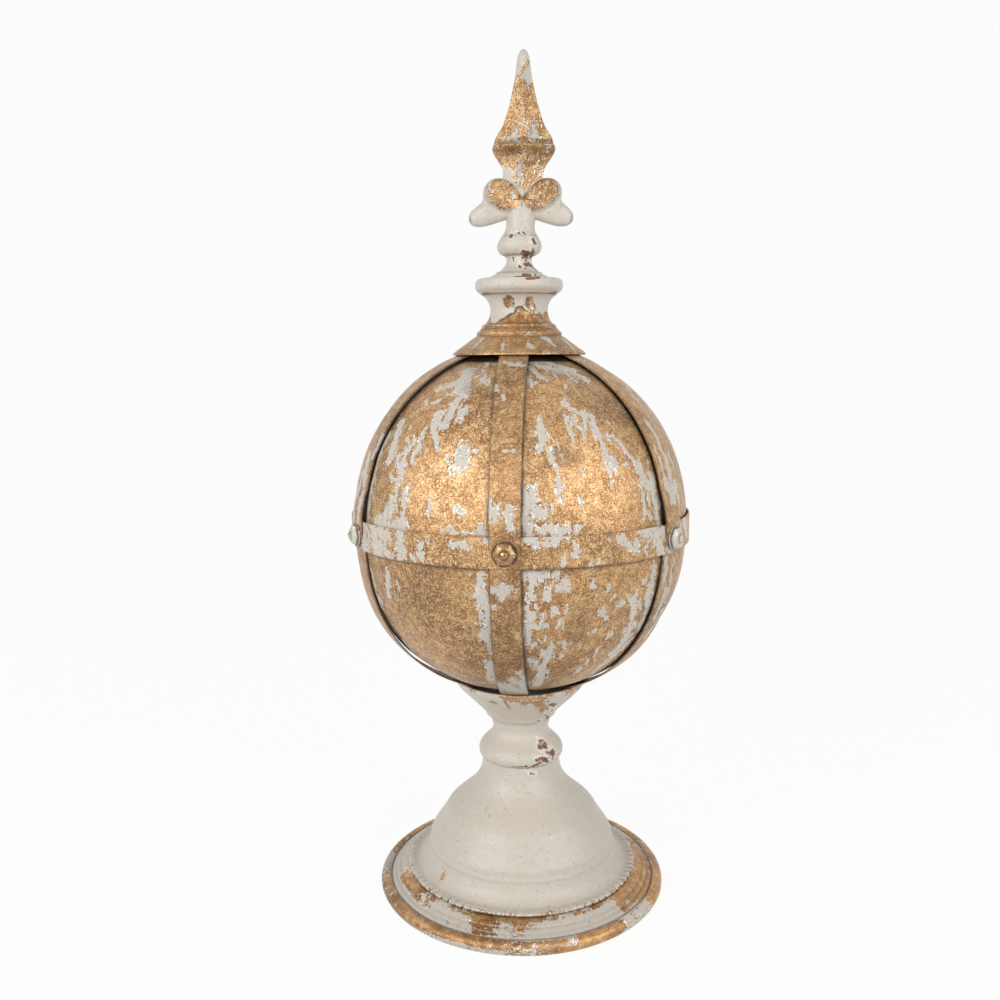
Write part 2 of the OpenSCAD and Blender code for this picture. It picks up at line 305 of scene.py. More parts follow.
# ---- materials ----
class Nodes:
    """Short forms for building a node tree."""

    def __init__(self, tree):
        self.tree, self.nodes, self.links = tree, tree.nodes, tree.links

    def put(self, socket, value):
        if hasattr(value, "is_output"):
            self.links.new(value, socket)
        else:
            socket.default_value = value

    def math(self, op, a, b=0.0, c=None, clamp=False):
        n = self.nodes.new("ShaderNodeMath")
        n.operation, n.use_clamp = op, clamp
        for i, v in enumerate((a, b) if c is None else (a, b, c)):
            self.put(n.inputs[i], v)
        return n.outputs[0]

    def noise(self, vector, scale, detail=3.0, rough=0.55):
        n = self.nodes.new("ShaderNodeTexNoise")
        n.inputs["Scale"].default_value = scale
        n.inputs["Detail"].default_value = detail
        n.inputs["Roughness"].default_value = rough
        self.links.new(vector, n.inputs["Vector"])
        return n.outputs["Fac"]

    def step(self, value, lo, hi, a=0.0, b=1.0):
        n = self.nodes.new("ShaderNodeMapRange")
        n.interpolation_type = "SMOOTHSTEP"
        for key, v in (("Value", value), ("From Min", lo), ("From Max", hi), ("To Min", a), ("To Max", b)):
            self.put(n.inputs[key], v)
        return n.outputs["Result"]

    def mix(self, fac, a, b, blend="MIX"):
        n = self.nodes.new("ShaderNodeMix")
        n.data_type, n.blend_type = "RGBA", blend
        self.put(n.inputs[0], fac)
        self.put(n.inputs[6], a)
        self.put(n.inputs[7], b)
        return n.outputs[2]

    def sway(self, noise, amount):
        """A noise centred on nought, times an amount."""
        return self.math("MULTIPLY", self.math("SUBTRACT", noise, 0.5), amount)

    def seen_directly(self):
        """1 for what the camera sees, straight or through a gloss or glass; 0 for light on surfaces."""
        path = self.nodes.new("ShaderNodeLightPath")
        glossy = self.math("MAXIMUM", path.outputs["Is Glossy Ray"], path.outputs["Is Transmission Ray"])
        return self.math("MAXIMUM", path.outputs["Is Camera Ray"], glossy)

    def field(self, name):
        n = self.nodes.new("ShaderNodeAttribute")
        n.attribute_name = name
        return n.outputs["Fac"], n.outputs["Vector"]

    def millimetres(self):
        c = self.nodes.new("ShaderNodeTexCoord")
        v = self.nodes.new("ShaderNodeVectorMath")
        v.operation = "SCALE"
        v.inputs["Scale"].default_value = 1000.0
        self.links.new(c.outputs["Object"], v.inputs[0])
        return v.outputs[0]


def srgb(r, g, b):
    """A linear colour from 0-255 display values."""
    display = (r / 255, g / 255, b / 255)
    return tuple(c / 12.92 if c <= 0.04045 else ((c + 0.055) / 1.055) ** 2.4 for c in display) + (1,)


GREIGE, PALE_GREIGE, DULL_GREIGE = srgb(210, 202, 189), srgb(219, 212, 201), srgb(176, 166, 148)
PIT, CHALK, CHIP_RIM = srgb(128, 112, 92), srgb(238, 233, 224), srgb(252, 248, 240)
# the last colour on the next line is near black, used for real dirt and for painted shade alike
DARK_SPECK, LIGHT_SPECK, DIRT_AND_PAINTED_SHADE = srgb(100, 68, 42), srgb(250, 226, 182), srgb(30, 22, 17)
RUST_DARK, RUST_LIGHT, RUST_RIM = srgb(98, 64, 44), srgb(160, 110, 72), srgb(244, 240, 232)
PRIMER_ROUGHNESS = 0.42


class Patterns:
    """The noises that the paint is made of, laid in millimetres or along its streaks."""

    def __init__(self, k):
        mm, flow = k.millimetres(), k.field("flow")[1]
        self.cloud = k.noise(mm, 0.035, 3, 0.6)
        self.blotch = k.noise(mm, 0.22, 5, 0.7)
        self.grain = k.noise(mm, 0.85, 4, 0.8)
        self.fine = k.noise(mm, 0.9, 3, 0.6)
        self.torn = k.noise(mm, 0.36, 2, 0.6)
        self.dust = k.noise(mm, 1.7, 2, 0.6)
        self.pits = k.noise(mm, 0.75, 1, 0.5)
        self.chalk = k.noise(mm, 1.0, 1, 0.5)
        self.fleck = k.noise(flow, 0.95, 3, 0.6)
        self.streak = k.noise(flow, 0.42, 5, 0.72)
        self.speck = k.noise(flow, 0.8, 2, 0.5)


def missing_gold(k, p):
    """How far the gold has gone: past a half it's off, and just below that is the rim of a chip."""
    bare = k.field("bare")[0]
    edge = k.math("ADD", bare, k.sway(p.streak, 2.9))
    edge = k.math("ADD", edge, k.sway(p.fine, 1.3))
    edge = k.math("ADD", edge, k.sway(p.torn, 1.5))
    stray_chips = k.math("MULTIPLY", k.step(p.speck, 0.69, 0.73), k.step(p.cloud, 0.46, 0.56))
    edge = k.math("ADD", edge, k.math("MULTIPLY", stray_chips, 0.55))
    flecks = k.step(k.math("ADD", p.fleck, k.math("MULTIPLY", bare, 0.22)), 0.605, 0.62, 0.0, 0.9)
    return k.math("MAXIMUM", edge, flecks)


def gold_colour(k, p, dark, mid, light, grit):
    """Mottled gold, speckled as coarsely as the piece's grit field says."""
    coarse = k.field("grit")[0]

    def speckled(under, over, noise, start, end, share):
        amount = k.math("MULTIPLY", coarse, share * grit)
        return k.mix(k.step(noise, start, end, 0.0, amount), under, over)
    gold = k.mix(k.step(p.cloud, 0.38, 0.60, 0.1, 1.0), dark, mid)
    gold = k.mix(k.step(p.blotch, 0.46, 0.66, 0.0, 0.55), gold, light)
    gold = k.mix(k.step(p.blotch, 0.46, 0.34, 0.0, 0.55), gold, dark)
    # bright and dark grain, then dark dust specks and bright specks; the bright grain and specks are partly
    # the paint's grain, partly painted glints
    gold = speckled(gold, light, p.grain, 0.50, 0.62, 0.75)
    gold = speckled(gold, dark, p.grain, 0.48, 0.36, 0.75)
    gold = speckled(gold, DARK_SPECK, p.dust, 0.44, 0.32, 0.85)
    return speckled(gold, LIGHT_SPECK, p.dust, 0.58, 0.68, 0.7)


def primer_colour(k, p):
    """Greige primer with dull patches, pits and chalky specks."""
    pale = k.mix(k.step(p.blotch, 0.35, 0.70, 0.0, 0.5), GREIGE, PALE_GREIGE)
    pale = k.mix(k.step(p.grain, 0.60, 0.72, 0.0, 0.35), pale, DULL_GREIGE)
    pale = k.mix(k.step(p.pits, 0.70, 0.75, 0.0, 0.6), pale, PIT)
    return k.mix(k.step(p.chalk, 0.69, 0.73, 0.0, 0.8), pale, CHALK)


def rust_over(k, p, colour):
    """Rust spots ringed by pale flakes; returns the colour and where the rust lies."""
    spread = k.math("ADD", k.field("rust")[0], k.sway(p.fine, 0.9))
    flakes = k.math("MULTIPLY", k.step(spread, 0.22, 0.30), k.step(p.fine, 0.42, 0.5, 0.0, 0.85))
    rusty = k.step(spread, 0.42, 0.62)
    brown = k.mix(k.step(p.grain, 0.4, 0.62), RUST_DARK, RUST_LIGHT)
    return k.mix(rusty, k.mix(flakes, colour, RUST_RIM), brown), rusty


def paint(slot, golds, metal, rough_gold, relief=0.0004, grit=1.0):
    """A material of gold over greige primer; the pieces' fields say where each shows."""
    mat = bpy.data.materials.new(slot)
    mat.use_nodes = True
    k = Nodes(mat.node_tree)
    p = Patterns(k)
    edge = missing_gold(k, p)
    mask = k.step(edge, 0.47, 0.53)
    rim = k.math("SUBTRACT", k.step(edge, 0.16, 0.22), mask, clamp=True)
    colour = k.mix(mask, gold_colour(k, p, *golds, grit), primer_colour(k, p))
    colour = k.mix(k.math("MULTIPLY", rim, k.step(p.grain, 0.42, 0.52, 0.1, 1.0)), colour, CHIP_RIM)
    colour, rusty = rust_over(k, p, colour)
    # this field darkens the colour towards near black: partly real soot and dirt, partly painted shade in
    # grooves, gaps, creases and under edges
    dirt_and_painted_shade = k.math("MULTIPLY", k.field("soot_and_painted_shade")[0], k.step(p.grain, 0.25, 0.6, 0.8, 1.0))
    shader = k.nodes["Principled BSDF"]
    k.put(shader.inputs["Base Color"], k.mix(dirt_and_painted_shade, colour, DIRT_AND_PAINTED_SHADE))
    shader.inputs["Specular IOR Level"].default_value = 0.5
    covered = k.math("MAXIMUM", mask, k.math("MAXIMUM", rusty, dirt_and_painted_shade))
    gilded = k.math("SUBTRACT", 1.0, covered, clamp=True)
    k.put(shader.inputs["Metallic"], k.math("MULTIPLY", gilded, metal))
    roughness = k.step(mask, 0.0, 1.0, rough_gold, PRIMER_ROUGHNESS)
    k.put(shader.inputs["Roughness"], k.math("ADD", roughness, k.sway(p.grain, 0.35)))
    bump = k.nodes.new("ShaderNodeBump")
    bump.inputs["Distance"].default_value = relief
    height = k.math("MULTIPLY", k.math("SUBTRACT", 1.0, mask), 0.7)
    height = k.math("ADD", height, k.math("MULTIPLY", p.grain, k.step(mask, 0.0, 1.0, 0.55, 0.22)))
    height = k.math("ADD", height, k.math("MULTIPLY", rim, 0.5))
    k.put(bump.inputs["Height"], height)
    k.put(shader.inputs["Normal"], bump.outputs[0])
    MATERIALS[slot] = mat


WORN_GOLD = [srgb(136, 95, 58), srgb(183, 138, 91), srgb(234, 199, 148)]
PALE_GOLD = [srgb(160, 122, 82), srgb(190, 148, 104), srgb(220, 182, 134)]
BOLT_GOLD = [srgb(112, 80, 50), srgb(164, 122, 80), srgb(222, 180, 124)]
paint("worn_gold_paint", WORN_GOLD, metal=0.7, rough_gold=0.36)
paint("greige_paint", PALE_GOLD, metal=0.45, rough_gold=0.45)
paint("gilded_bolt", BOLT_GOLD, metal=0.7, rough_gold=0.33, relief=0.00008, grit=0.4)


def fields(p, bare, rust=0.0, soot_and_painted_shade=0.0, radius=90.0, stretch=0.3, grit=1.0):
    """What the paint reads at each vertex: gold gone, rust, soot and painted shade, grit and the way its
    streaks run.
    """
    full = np.ones(len(p))
    return {"bare": full * bare, "rust": full * rust, "soot_and_painted_shade": np.clip(full * soot_and_painted_shade, 0, 1),
            "grit": full * grit, "flow": flow_of(p, radius, stretch)}


def scatter(seed, count, lo, hi, az_lo, az_hi, size=(0.8, 3.0), length=(3, 22)):
    """Chips for the sides that face away: streaks down the surface."""
    rng = np.random.default_rng(seed)
    out = []
    for _ in range(count):
        a, z = rng.uniform(az_lo, az_hi), rng.uniform(lo, hi)
        run, w = rng.uniform(*length), rng.uniform(*size)
        out.append((a, z, a + rng.uniform(-3, 3), z - run * 0.5, w))
    return out


def crumbs(seed, areas):
    """Small flakes strewn over areas given as azimuths, heights and a count."""
    rng = np.random.default_rng(seed)
    out = []
    for az0, az1, z0, z1, count in areas:
        for _ in range(count):
            a, z = rng.uniform(az0, az1), rng.uniform(z0, z1)
            out.append((a, z, a + rng.uniform(-0.8, 0.8), z - rng.uniform(0, 4), rng.uniform(0.55, 0.95)))
    return out


def strap_edges(seed, first, last, side, lo, hi):
    """Chips that hug the straps' edges and the hoop on the far sides."""
    rng = np.random.default_rng(seed)
    out = []
    for i in range(first, last):
        edge = STRAP_A + 60 * i + side * 6
        for _ in range(7):
            z = rng.uniform(lo, hi)
            out.append((edge, z, edge + rng.uniform(-1, 1), z - rng.uniform(3, 20), rng.uniform(0.9, 2.6)))
    return out


# Chips that show from the front: azimuth and height of both ends, half width
BALL_CHIPS = [
    # between the left strap and the front one, upper half
    (-45, 284, -34, 288, 1.7), (-36, 293, -29, 281, 2.6), (-29, 279, -31, 267, 2.0),
    (-35, 273, -34, 264, 1.2), (-34, 264, -31, 257, 1.4), (-24, 275, -25, 269, 1.5),
    (-38, 266, -39, 257, 0.9), (-39, 257, -40, 249, 0.9), (-54, 267, -51, 259, 1.8),
    (-52, 257, -51, 250, 2.6), (-42, 258, -45, 253, 1.1), (-45, 250, -44, 241, 2.3),
    (-41, 237, -39, 227, 1.1), (-44, 235, -43, 226, 0.9), (-46, 226, -49, 218, 3.2),
    (-53, 218, -40, 218, 3.0), (-40, 224, -39, 217, 1.8), (-21, 256, -21, 249, 3.3),
    (-16, 256, -15, 256, 0.8), (-26, 253, -26, 252, 1.0), (-19, 296, -13, 294, 1.3),
    (-22, 291, -19, 287, 0.9), (6, 294, 12, 288, 1.2), (14, 295, 22, 293, 1.8), (2, 292, 4, 288, 1.2),
    (-24, 246, -24, 245, 0.9), (-30, 230, -30, 227, 1.2), (-21, 229, -19, 228, 1.3),
    (-23, 219, -12, 219, 0.7), (-13, 220, -12, 219, 2.0), (-47, 278, -45, 277, 0.8),
    (-41, 277, -38, 279, 0.8), (-36, 281, -34, 281, 0.7),
    # right of the front strap, upper half
    (3, 297, 20, 297, 1.2), (22, 296, 36, 293, 1.4), (30, 294, 37, 288, 1.9), (7, 271, 7, 264, 1.0),
    (7, 264, 5, 257, 1.7), (8, 257, 10, 248, 1.2), (11, 243, 11, 237, 1.3), (11, 237, 12, 232, 0.9),
    (18, 278, 22, 273, 1.2), (22, 273, 26, 271, 1.3), (25, 273, 24, 266, 1.0), (27, 270, 28, 259, 1.7),
    (28, 259, 29, 252, 1.2), (30, 250, 30, 247, 2.3), (17, 272, 18, 260, 0.9), (20, 271, 22, 261, 0.7),
    (34, 262, 36, 257, 0.9), (36, 257, 42, 247, 1.2), (42, 247, 42, 238, 1.6), (42, 241, 47, 236, 2.0),
    (47, 241, 47, 222, 1.7), (41, 237, 41, 222, 1.0), (44, 236, 44, 222, 0.7), (12, 260, 13, 253, 0.5),
    (1, 237, 2, 232, 3.0), (3, 231, 5, 227, 2.4), (0, 226, 1, 219, 2.3), (4, 219, 12, 220, 1.9),
    # below the hoop
    (-48, 194, -49, 187, 1.6), (-49, 187, -50, 180, 1.3), (-44, 190, -44, 187, 0.8),
    (-12, 200, -13, 192, 1.6), (-13, 192, -15, 189, 1.5), (-13, 190, -12, 180, 2.2),
    (-12, 179, -12, 175, 1.3), (-12, 174, -12, 165, 2.0), (-12, 165, -11, 158, 1.2),
    (-14, 150, -13, 134, 2.3), (0, 199, 6, 199, 2.4), (2, 196, 2, 189, 1.6), (7, 191, 7, 187, 1.6),
    (9, 199, 9, 196, 1.5), (13, 197, 13, 192, 1.3), (11, 192, 11, 191, 0.9), (1, 187, 1, 178, 1.0),
    (1, 175, 1, 162, 1.3), (3, 180, 2, 176, 1.1), (6, 178, 6, 171, 1.4), (2, 173, 6, 171, 1.5),
    (9, 181, 9, 180, 1.2), (7, 166, 7, 164, 0.7), (16, 162, 15, 160, 1.2), (9, 159, 9, 151, 1.4),
    (3, 153, 8, 144, 2.1), (8, 144, 8, 133, 2.4), (40, 188, 38, 182, 1.0), (38, 182, 40, 172, 1.7),
    (40, 172, 41, 166, 1.1), (46, 198, 47, 186, 1.3), (46, 186, 46, 178, 1.7), (47, 178, 48, 163, 1.7),
    (43, 166, 39, 150, 1.3), (44, 160, 38, 142, 1.2), (46, 156, 38, 138, 1.5), (25, 178, 28, 175, 1.2),
    (33, 180, 33, 180, 1.3), (30, 186, 29, 184, 0.7), (25, 168, 24, 166, 1.3), (33, 166, 33, 164, 0.9),
]
CRUMBS = crumbs(25, [
    (1, 15, 150, 199, 26), (18, 36, 180, 200, 8), (-53, -38, 216, 268, 16), (41, 50, 150, 250, 22),
    (-32, -14, 282, 297, 7), (4, 34, 284, 297, 10), (18, 36, 240, 276, 9), (-30, -14, 215, 232, 5),
    (2, 18, 218, 240, 5), (-17, -11, 130, 190, 7), (20, 44, 135, 172, 7), (60, 296, 140, 290, 120),
])
STRAP_CHIPS = [
    (-9, 231, -9, 227, 1.9), (-5, 231, -3, 231, 1.2), (-5, 228, -4, 222, 1.6), (-9, 297, -1, 296, 1.7),
    (-8, 282, -7, 280, 0.7), (-6, 256, -4, 256, 0.9), (-16, 290, -12, 284, 1.0), (-9, 191, -6, 190, 1.7),
    (-7, 193, -7, 187, 1.2), (-9, 184, -9, 183, 0.9), (-6, 190, -4, 192, 1.5), (-10, 134, 0, 128, 3.6),
    (-5, 140, 2, 132, 2.6), (-2, 146, 1, 140, 1.2), (-66, 250, -64, 236, 1.8), (-63, 232, -64, 214, 1.6),
    (-60, 262, -62, 250, 0.8), (-68, 240, -70, 216, 1.4), (55, 268, 57, 246, 0.9),
    (58, 250, 56, 228, 1.1), (52, 256, 53, 238, 0.7), (60, 280, 61, 262, 1.0), (54, 238, 55, 228, 1.7),
    (59, 236, 60, 214, 0.9), (52, 200, 52, 188, 1.2), (57, 196, 57, 176, 1.0), (55, 182, 53, 168, 1.5),
    (58, 170, 55, 156, 1.2),
]
HOOP_CHIPS = [
    (-62, 217, -60, 203, 3.2), (-54, 217, -51, 203, 3.0), (-50, 216, -46, 212, 2.4),
    (-47, 206, -44, 203, 1.8), (-40, 215, -40, 204, 2.0), (-36, 205, -35, 203, 1.1),
    (-32, 212, -32, 205, 1.3), (-30, 215, -29, 213, 0.8), (-21, 213, -17, 212, 1.4),
    (-12, 216, -10, 214, 1.0), (0, 217, 3, 214, 1.6), (6, 213, 9, 215, 1.3), (11, 206, 11, 204, 1.3),
    (15, 211, 15, 207, 1.1), (14, 214, 15, 213, 0.7), (6, 217, 12, 217, 1.2), (33, 211, 34, 208, 1.2),
    (37, 211, 36, 206, 1.4), (40, 216, 49, 214, 2.6), (44, 214, 47, 206, 3.0), (52, 211, 53, 203, 1.9),
    (60, 215, 62, 204, 2.3), (66, 214, 70, 206, 1.8), (-70, 214, -74, 206, 2.0),
]


# ---- foot ----
def foot_plate():
    """A rolled rim and a sheet that rises in two steps to the bell's flange."""
    rim_z = RIM_R - 0.2
    rim_a = np.radians(np.linspace(-90, 270, 30, endpoint=False))
    ring = np.stack([FOOT_R - RIM_R + RIM_R * np.cos(rim_a), np.maximum(rim_z + RIM_R * np.sin(rim_a), 0)], 1)
    groove = FOOT_R - 2 * RIM_R + 1.2
    tread = (groove - FLANGE_R - 2) / 3
    line = [(groove, rim_z + 1.4), (groove - 0.5, rim_z + 2.8), (groove - tread, rim_z + 3.9),
            (groove - tread - 0.4, rim_z + 5.1), (groove - 2 * tread, rim_z + 5.8),
            (groove - 2 * tread - 0.4, rim_z + 7.0), (FLANGE_R - 1, FLANGE_Z - 0.6),
            (FLANGE_R - 5, FLANGE_Z - 0.1), (FLANGE_R - 11, FLANGE_Z - 0.1)]

    def uneven(a, r, z):
        wave = 0.25 * np.sin(np.radians(a * 3 + 40)) + 0.15 * np.sin(np.radians(a * 7))
        return r - 0.35 + 0.35 * wave, z
    parts = [turned(ring, 420, radial=uneven), turned(sheet_outline(line, SHEET, 0.9), 420)]
    v, q, c = join(parts)
    az, r, z = azimuth(v), radius_of(v), v[:, 2]
    # noise drawn out round the plate, as the paint wore along it
    along = np.stack([v[:, 0] * 0.35, v[:, 1] * 0.35, r], 1)
    big, mid = noise(along, 9, 3), noise(along, 3.6, 4)
    # sectors still gilt: from and to azimuth, softness, outer radius, softness
    sectors = [(-80, -42, 5, 72, 1.2), (-44, 44, 6, 67.6, 1.0), (-22, 8, 4, 74.4, 1.0),
               (44, 112, 5, 74.4, 1.0), (128, 168, 8, 71, 1.2)]
    gilt = [between(az, a, b, soft) * between(r, FLANGE_R - 5, end, fade)
            for a, b, soft, end, fade in sectors]
    gilt.append(between(az, -165, -140, 8) * swell(r, 70, 3))
    plate = 0.88 - 1.15 * np.maximum.reduce(gilt) + 0.62 * big + 0.40 * mid + 0.20 * noise(v, 3.2, 14)
    worn = np.maximum.reduce([
        between(az, -44, -8, 6) * (z < 4.4), between(az, 40, 60, 4), between(az, 145, 175, 6),
        swell(az, -95, 5), swell(az, 18, 3) * (z > 4.5)])
    rim = -0.25 + 0.85 * worn + 0.45 * np.clip(big, -0.4, 1) + 0.25 * mid
    on_ring = r > groove + 0.4
    bare = np.where(on_ring, rim, plate)
    # painted shade in the groove inside the rolled rim, on the rim's underside and at the foot of each step;
    # the ring is also darker on its left
    soot_and_painted_shade = 0.75 * swell(r, groove - 0.2, 0.7) * (z < rim_z + 3) + 0.35 * (z < 0.8)
    for step in (1, 2):
        soot_and_painted_shade = soot_and_painted_shade + 0.25 * swell(r, groove - step * tread + 0.3, 0.5)
    soot_and_painted_shade = soot_and_painted_shade + 0.32 * swell(az, -88, 26) * on_ring
    paint_fields = fields(v, bare, 0.15 * swell(r, groove, 1.2), soot_and_painted_shade, radius=80.0, stretch=0, grit=0.35)
    add_piece("foot_plate", v, q, c, paint_fields, "worn_gold_paint")


def tooth_phase(a):
    """0 in the middle of a tooth of the bell's flange, 1 between two."""
    return np.abs(((a * TEETH / 360) % 1) - 0.5) * 2


def toothed(a, r, z):
    """Pulls the flange's rim into uneven, crimped teeth, nearly smooth at the front."""
    phase = tooth_phase(a)
    tab = np.sqrt(np.clip(1 - phase ** 3.2, 0, 1))
    outward = np.clip((r - (FLANGE_R - 3.2)) / 3.2, 0, 1)
    jog = 0.35 * np.sin(np.radians(a * 11)) + 0.25 * np.sin(np.radians(a * 29 + 50))
    uneven = 0.75 + 0.5 * np.sin(np.radians(a * 41 + 20)) * np.sin(np.radians(a * 13))
    deeper = 1 - 0.75 * between(a, -24, 30, 8) + 0.25 * between(a, 45, 115, 10)
    cut = 2.3 * (1 - tab) * uneven * deeper - 0.5 * jog - 0.2
    crimp = np.exp(-(phase / 0.42) ** 2) * (outward > 0.2) * (outward < 0.9)
    lift = (0.25 * tab - 0.35 * crimp) * np.sin(outward * 2.6)
    return r - np.clip(cut, 0, 3) * outward, z + np.where(z > FLANGE_Z + 0.5, lift, 0)


def dented(a, r, z):
    """The bell's spun wall, a little out of true."""
    wave = np.sin(np.radians(a * 2 + 30)) * 0.25 + np.sin(np.radians(a * 5) + z * 0.11) * 0.15
    bead = 0.55 * swell(z, RIDGE_Z - 4.4, 0.8)
    return r - 0.25 + 0.6 * wave * swell(z, 40, 22) + bead, z


def foot_bell():
    """A spun bell, narrowed at a ridge, whose toothed flange lies on the plate."""
    kink = RIDGE_Z + 12.4
    flare = bezier([(FLANGE_R - 3.4, SKIRT_Z), (BELL_R + 4, SKIRT_Z + 0.4), (BELL_R + 1.2, SKIRT_Z + 5),
                    (BELL_R + 0.5, SKIRT_Z + 11), (BELL_R, RIDGE_Z)], 24)
    lobe = bezier([(BELL_R - 0.5, RIDGE_Z + 1.2), (BELL_R - 2.6, RIDGE_Z + 4.6),
                   (DOME_R + 1.0, kink - 1.2)], 10)
    dome = bezier([(DOME_R + 0.1, kink + 0.6), (DOME_R - 2.2, kink + 6.6),
                   (JOINT_R + 7.6, JOINT_Z - 19.8), (JOINT_R + 1.4, JOINT_Z - 15.5),
                   (JOINT_R - 0.2, JOINT_Z - 7), (JOINT_R - 0.2, JOINT_Z)], 40)
    wall = sheet_outline(np.concatenate([flare, lobe, dome]), SHEET, 0.9)
    # the flange: its top rounds off towards the rim, its underside is flat
    share = np.array([0, 0.25, 0.5, 0.7, 0.85, 0.95, 1.0])
    rounding = np.array([0, 0, 0, 0, 0.05, 0.2, 0.5])
    top = np.stack([FLANGE_R - 4.4 + 4.4 * share, SKIRT_Z - rounding], 1)
    low = np.array([(FLANGE_R - 0.1, FLANGE_Z + 0.05), (FLANGE_R - 4.4, FLANGE_Z + 0.05)])
    flange = np.concatenate([top, low])[::-1]
    v, q, c = join([turned(wall, 300, radial=dented), turned(flange, TEETH * 10, radial=toothed)])
    az, r, z = azimuth(v), radius_of(v), v[:, 2]
    on_flange = z < SKIRT_Z + 0.6
    flange_edge = swell(r, FLANGE_R - 0.2, 1.5) * on_flange
    gold_fleck = stroke_field(v, [(-53, 19.2, -52.4, 17.2, 1.5)], ragged=0.15, floor=0.0)
    bare = 0.92 + 0.10 * noise(v, 30, 5) - 1.25 * gold_fleck
    bare = bare - 0.75 * flange_edge * (0.55 + 0.9 * noise(v, 7, 8)) - 0.35 * swell(az, 70, 30) * flange_edge
    patchy = np.clip(0.55 + 0.9 * noise(v, 9, 15) + 0.5 * swell(az, 70, 40), 0, 1)
    patchy = patchy * (1 - 0.7 * between(az, -24, 30, 8))
    gaps = ease(tooth_phase(az), 0.6, 0.95) * between(r, FLANGE_R - 3.4, FLANGE_R + 1, 0.3)
    # painted shade where the bell meets its flange, under the flange and in the gaps between the teeth; a
    # dark crack at the joint at the top
    soot_and_painted_shade = 0.16 * swell(r, FLANGE_R - 4.2, 1.2) * on_flange + 0.45 * (z < FLANGE_Z + 0.4)
    soot_and_painted_shade = soot_and_painted_shade + 0.5 * patchy * gaps * (z < SKIRT_Z + 0.7)
    soot_and_painted_shade = soot_and_painted_shade + 0.8 * swell(z, JOINT_Z - 0.1, 0.45) * np.clip(0.25 + swell(az, 10, 22), 0, 1)
    chip = stroke_field(v, [(7, 74.4, 11, 74, 1.2), (13, 72, 18, 71, 1.4)], ragged=0.6, floor=0.0)
    rust = np.maximum(0.62 * chip, 0.22 * flange_edge)
    paint_fields = fields(v, bare, rust, soot_and_painted_shade, radius=50.0, stretch=0.8)
    add_piece("foot_bell", v, q, c, paint_fields, "greige_paint", sharp=60)


def stem_cup():
    """Bead, neck and open cup, spun as one."""
    bead = bezier([(JOINT_R, JOINT_Z), (BEAD_R + 0.8, JOINT_Z + 2), (BEAD_R + 1.6, JOINT_Z + 9),
                   (NECK_R + 2.9, JOINT_Z + 10.5), (NECK_R, JOINT_Z + 13), (NECK_R, JOINT_Z + 17.5)], 40)
    ring = [(NECK_R + 1.2, JOINT_Z + 22), (NECK_R + 1.7, JOINT_Z + 22.5), (NECK_R + 1.6, JOINT_Z + 22.9),
            (NECK_R + 3.2, JOINT_Z + 24.6), (NECK_R + 4.1, JOINT_Z + 25), (NECK_R + 4.0, JOINT_Z + 25.4),
            (NECK_R + 4.4, JOINT_Z + 25.9)]
    cup = bezier([(NECK_R + 4.6, JOINT_Z + 26.6), (NECK_R + 9, JOINT_Z + 31.5), (CUP_R - 8.4, CUP_Z - 10.2),
                  (CUP_R - 2.2, CUP_Z - 5.8), (CUP_R - 0.2, CUP_Z - 2.4), (CUP_R, CUP_Z)], 40)
    line = np.concatenate([bead, ring, cup])
    v, q, c = turned(sheet_outline(line, SHEET, 0.8), 220)
    out_of_true(v, 0.0035, 14, 12)
    z = v[:, 2]
    gold = [(-14, 120.4, 24, 119.8, 2.6), (-15, 118, -12, 113, 0.9), (-4, 118, 10, 116.6, 1.9),
            (12, 117, 26, 113, 3.0), (20, 112, 24, 108, 1.4), (40, 121, 60, 119, 2.0),
            (50, 118, 54, 113, 1.3), (-50, 121, -40, 120, 1.0), (-30, 116, -24, 115, 0.8),
            (120, 120, 150, 119, 2.4), (-150, 118, -120, 119, 2.0)]
    rusted = [(24, 117, 34, 111, 1.5), (30, 110, 36, 104, 1.0), (32, 86, 48, 82, 2.6), (20, 80, 46, 78, 1.5),
              (8, 77, 24, 77, 0.9), (35, 112, 48, 104, 1.1), (42, 103, 50, 99, 1.0), (28, 100, 38, 98, 0.8)]
    cracks = [(-12, 76.2, 22, 76.4, 0.5), (22, 76.6, 40, 80, 0.5)]
    bare = 0.95 + 0.08 * noise(v, 12, 13) - 1.25 * stroke_field(v, gold, ragged=0.6, floor=0.0)
    rust = stroke_field(v, rusted, ragged=1.0, floor=0.0) * np.clip(0.78 + 0.5 * noise(v, 2.2, 16), 0, 1)
    soot_and_painted_shade = 0.3 * swell(z, JOINT_Z + 0.1, 0.5) + 0.8 * stroke_field(v, cracks, ragged=0.25, floor=0.0) ** 2
    # painted shade in the creases at the foot of the neck's rings
    for ring_foot in (22.8, 25.3):
        soot_and_painted_shade = soot_and_painted_shade + 0.25 * swell(z, JOINT_Z + ring_foot, 0.35)
    paint_fields = fields(v, bare, rust, soot_and_painted_shade, radius=26.0, stretch=0.6)
    add_piece("stem_cup", v, q, c, paint_fields, "greige_paint")


# ---- ball ----
# Darker clouds in the gold, as strokes
CLOUDS = [
    (17, 178, 19, 164, 4.5), (30, 288, 46, 268, 4.0), (22, 292, 34, 284, 2.6), (12, 254, 18, 253, 2.6),
    (-26, 284, -17, 283, 3.0), (-30, 150, -22, 148, 3.4), (24, 280, 34, 270, 2.6),
]
FAR_CHIPS = (scatter(21, 46, 222, 290, 60, 296) + scatter(22, 22, 140, 198, 60, 296)
             + strap_edges(23, 1, 6, 1, 150, 285) + strap_edges(24, 2, 6, -1, 150, 285))


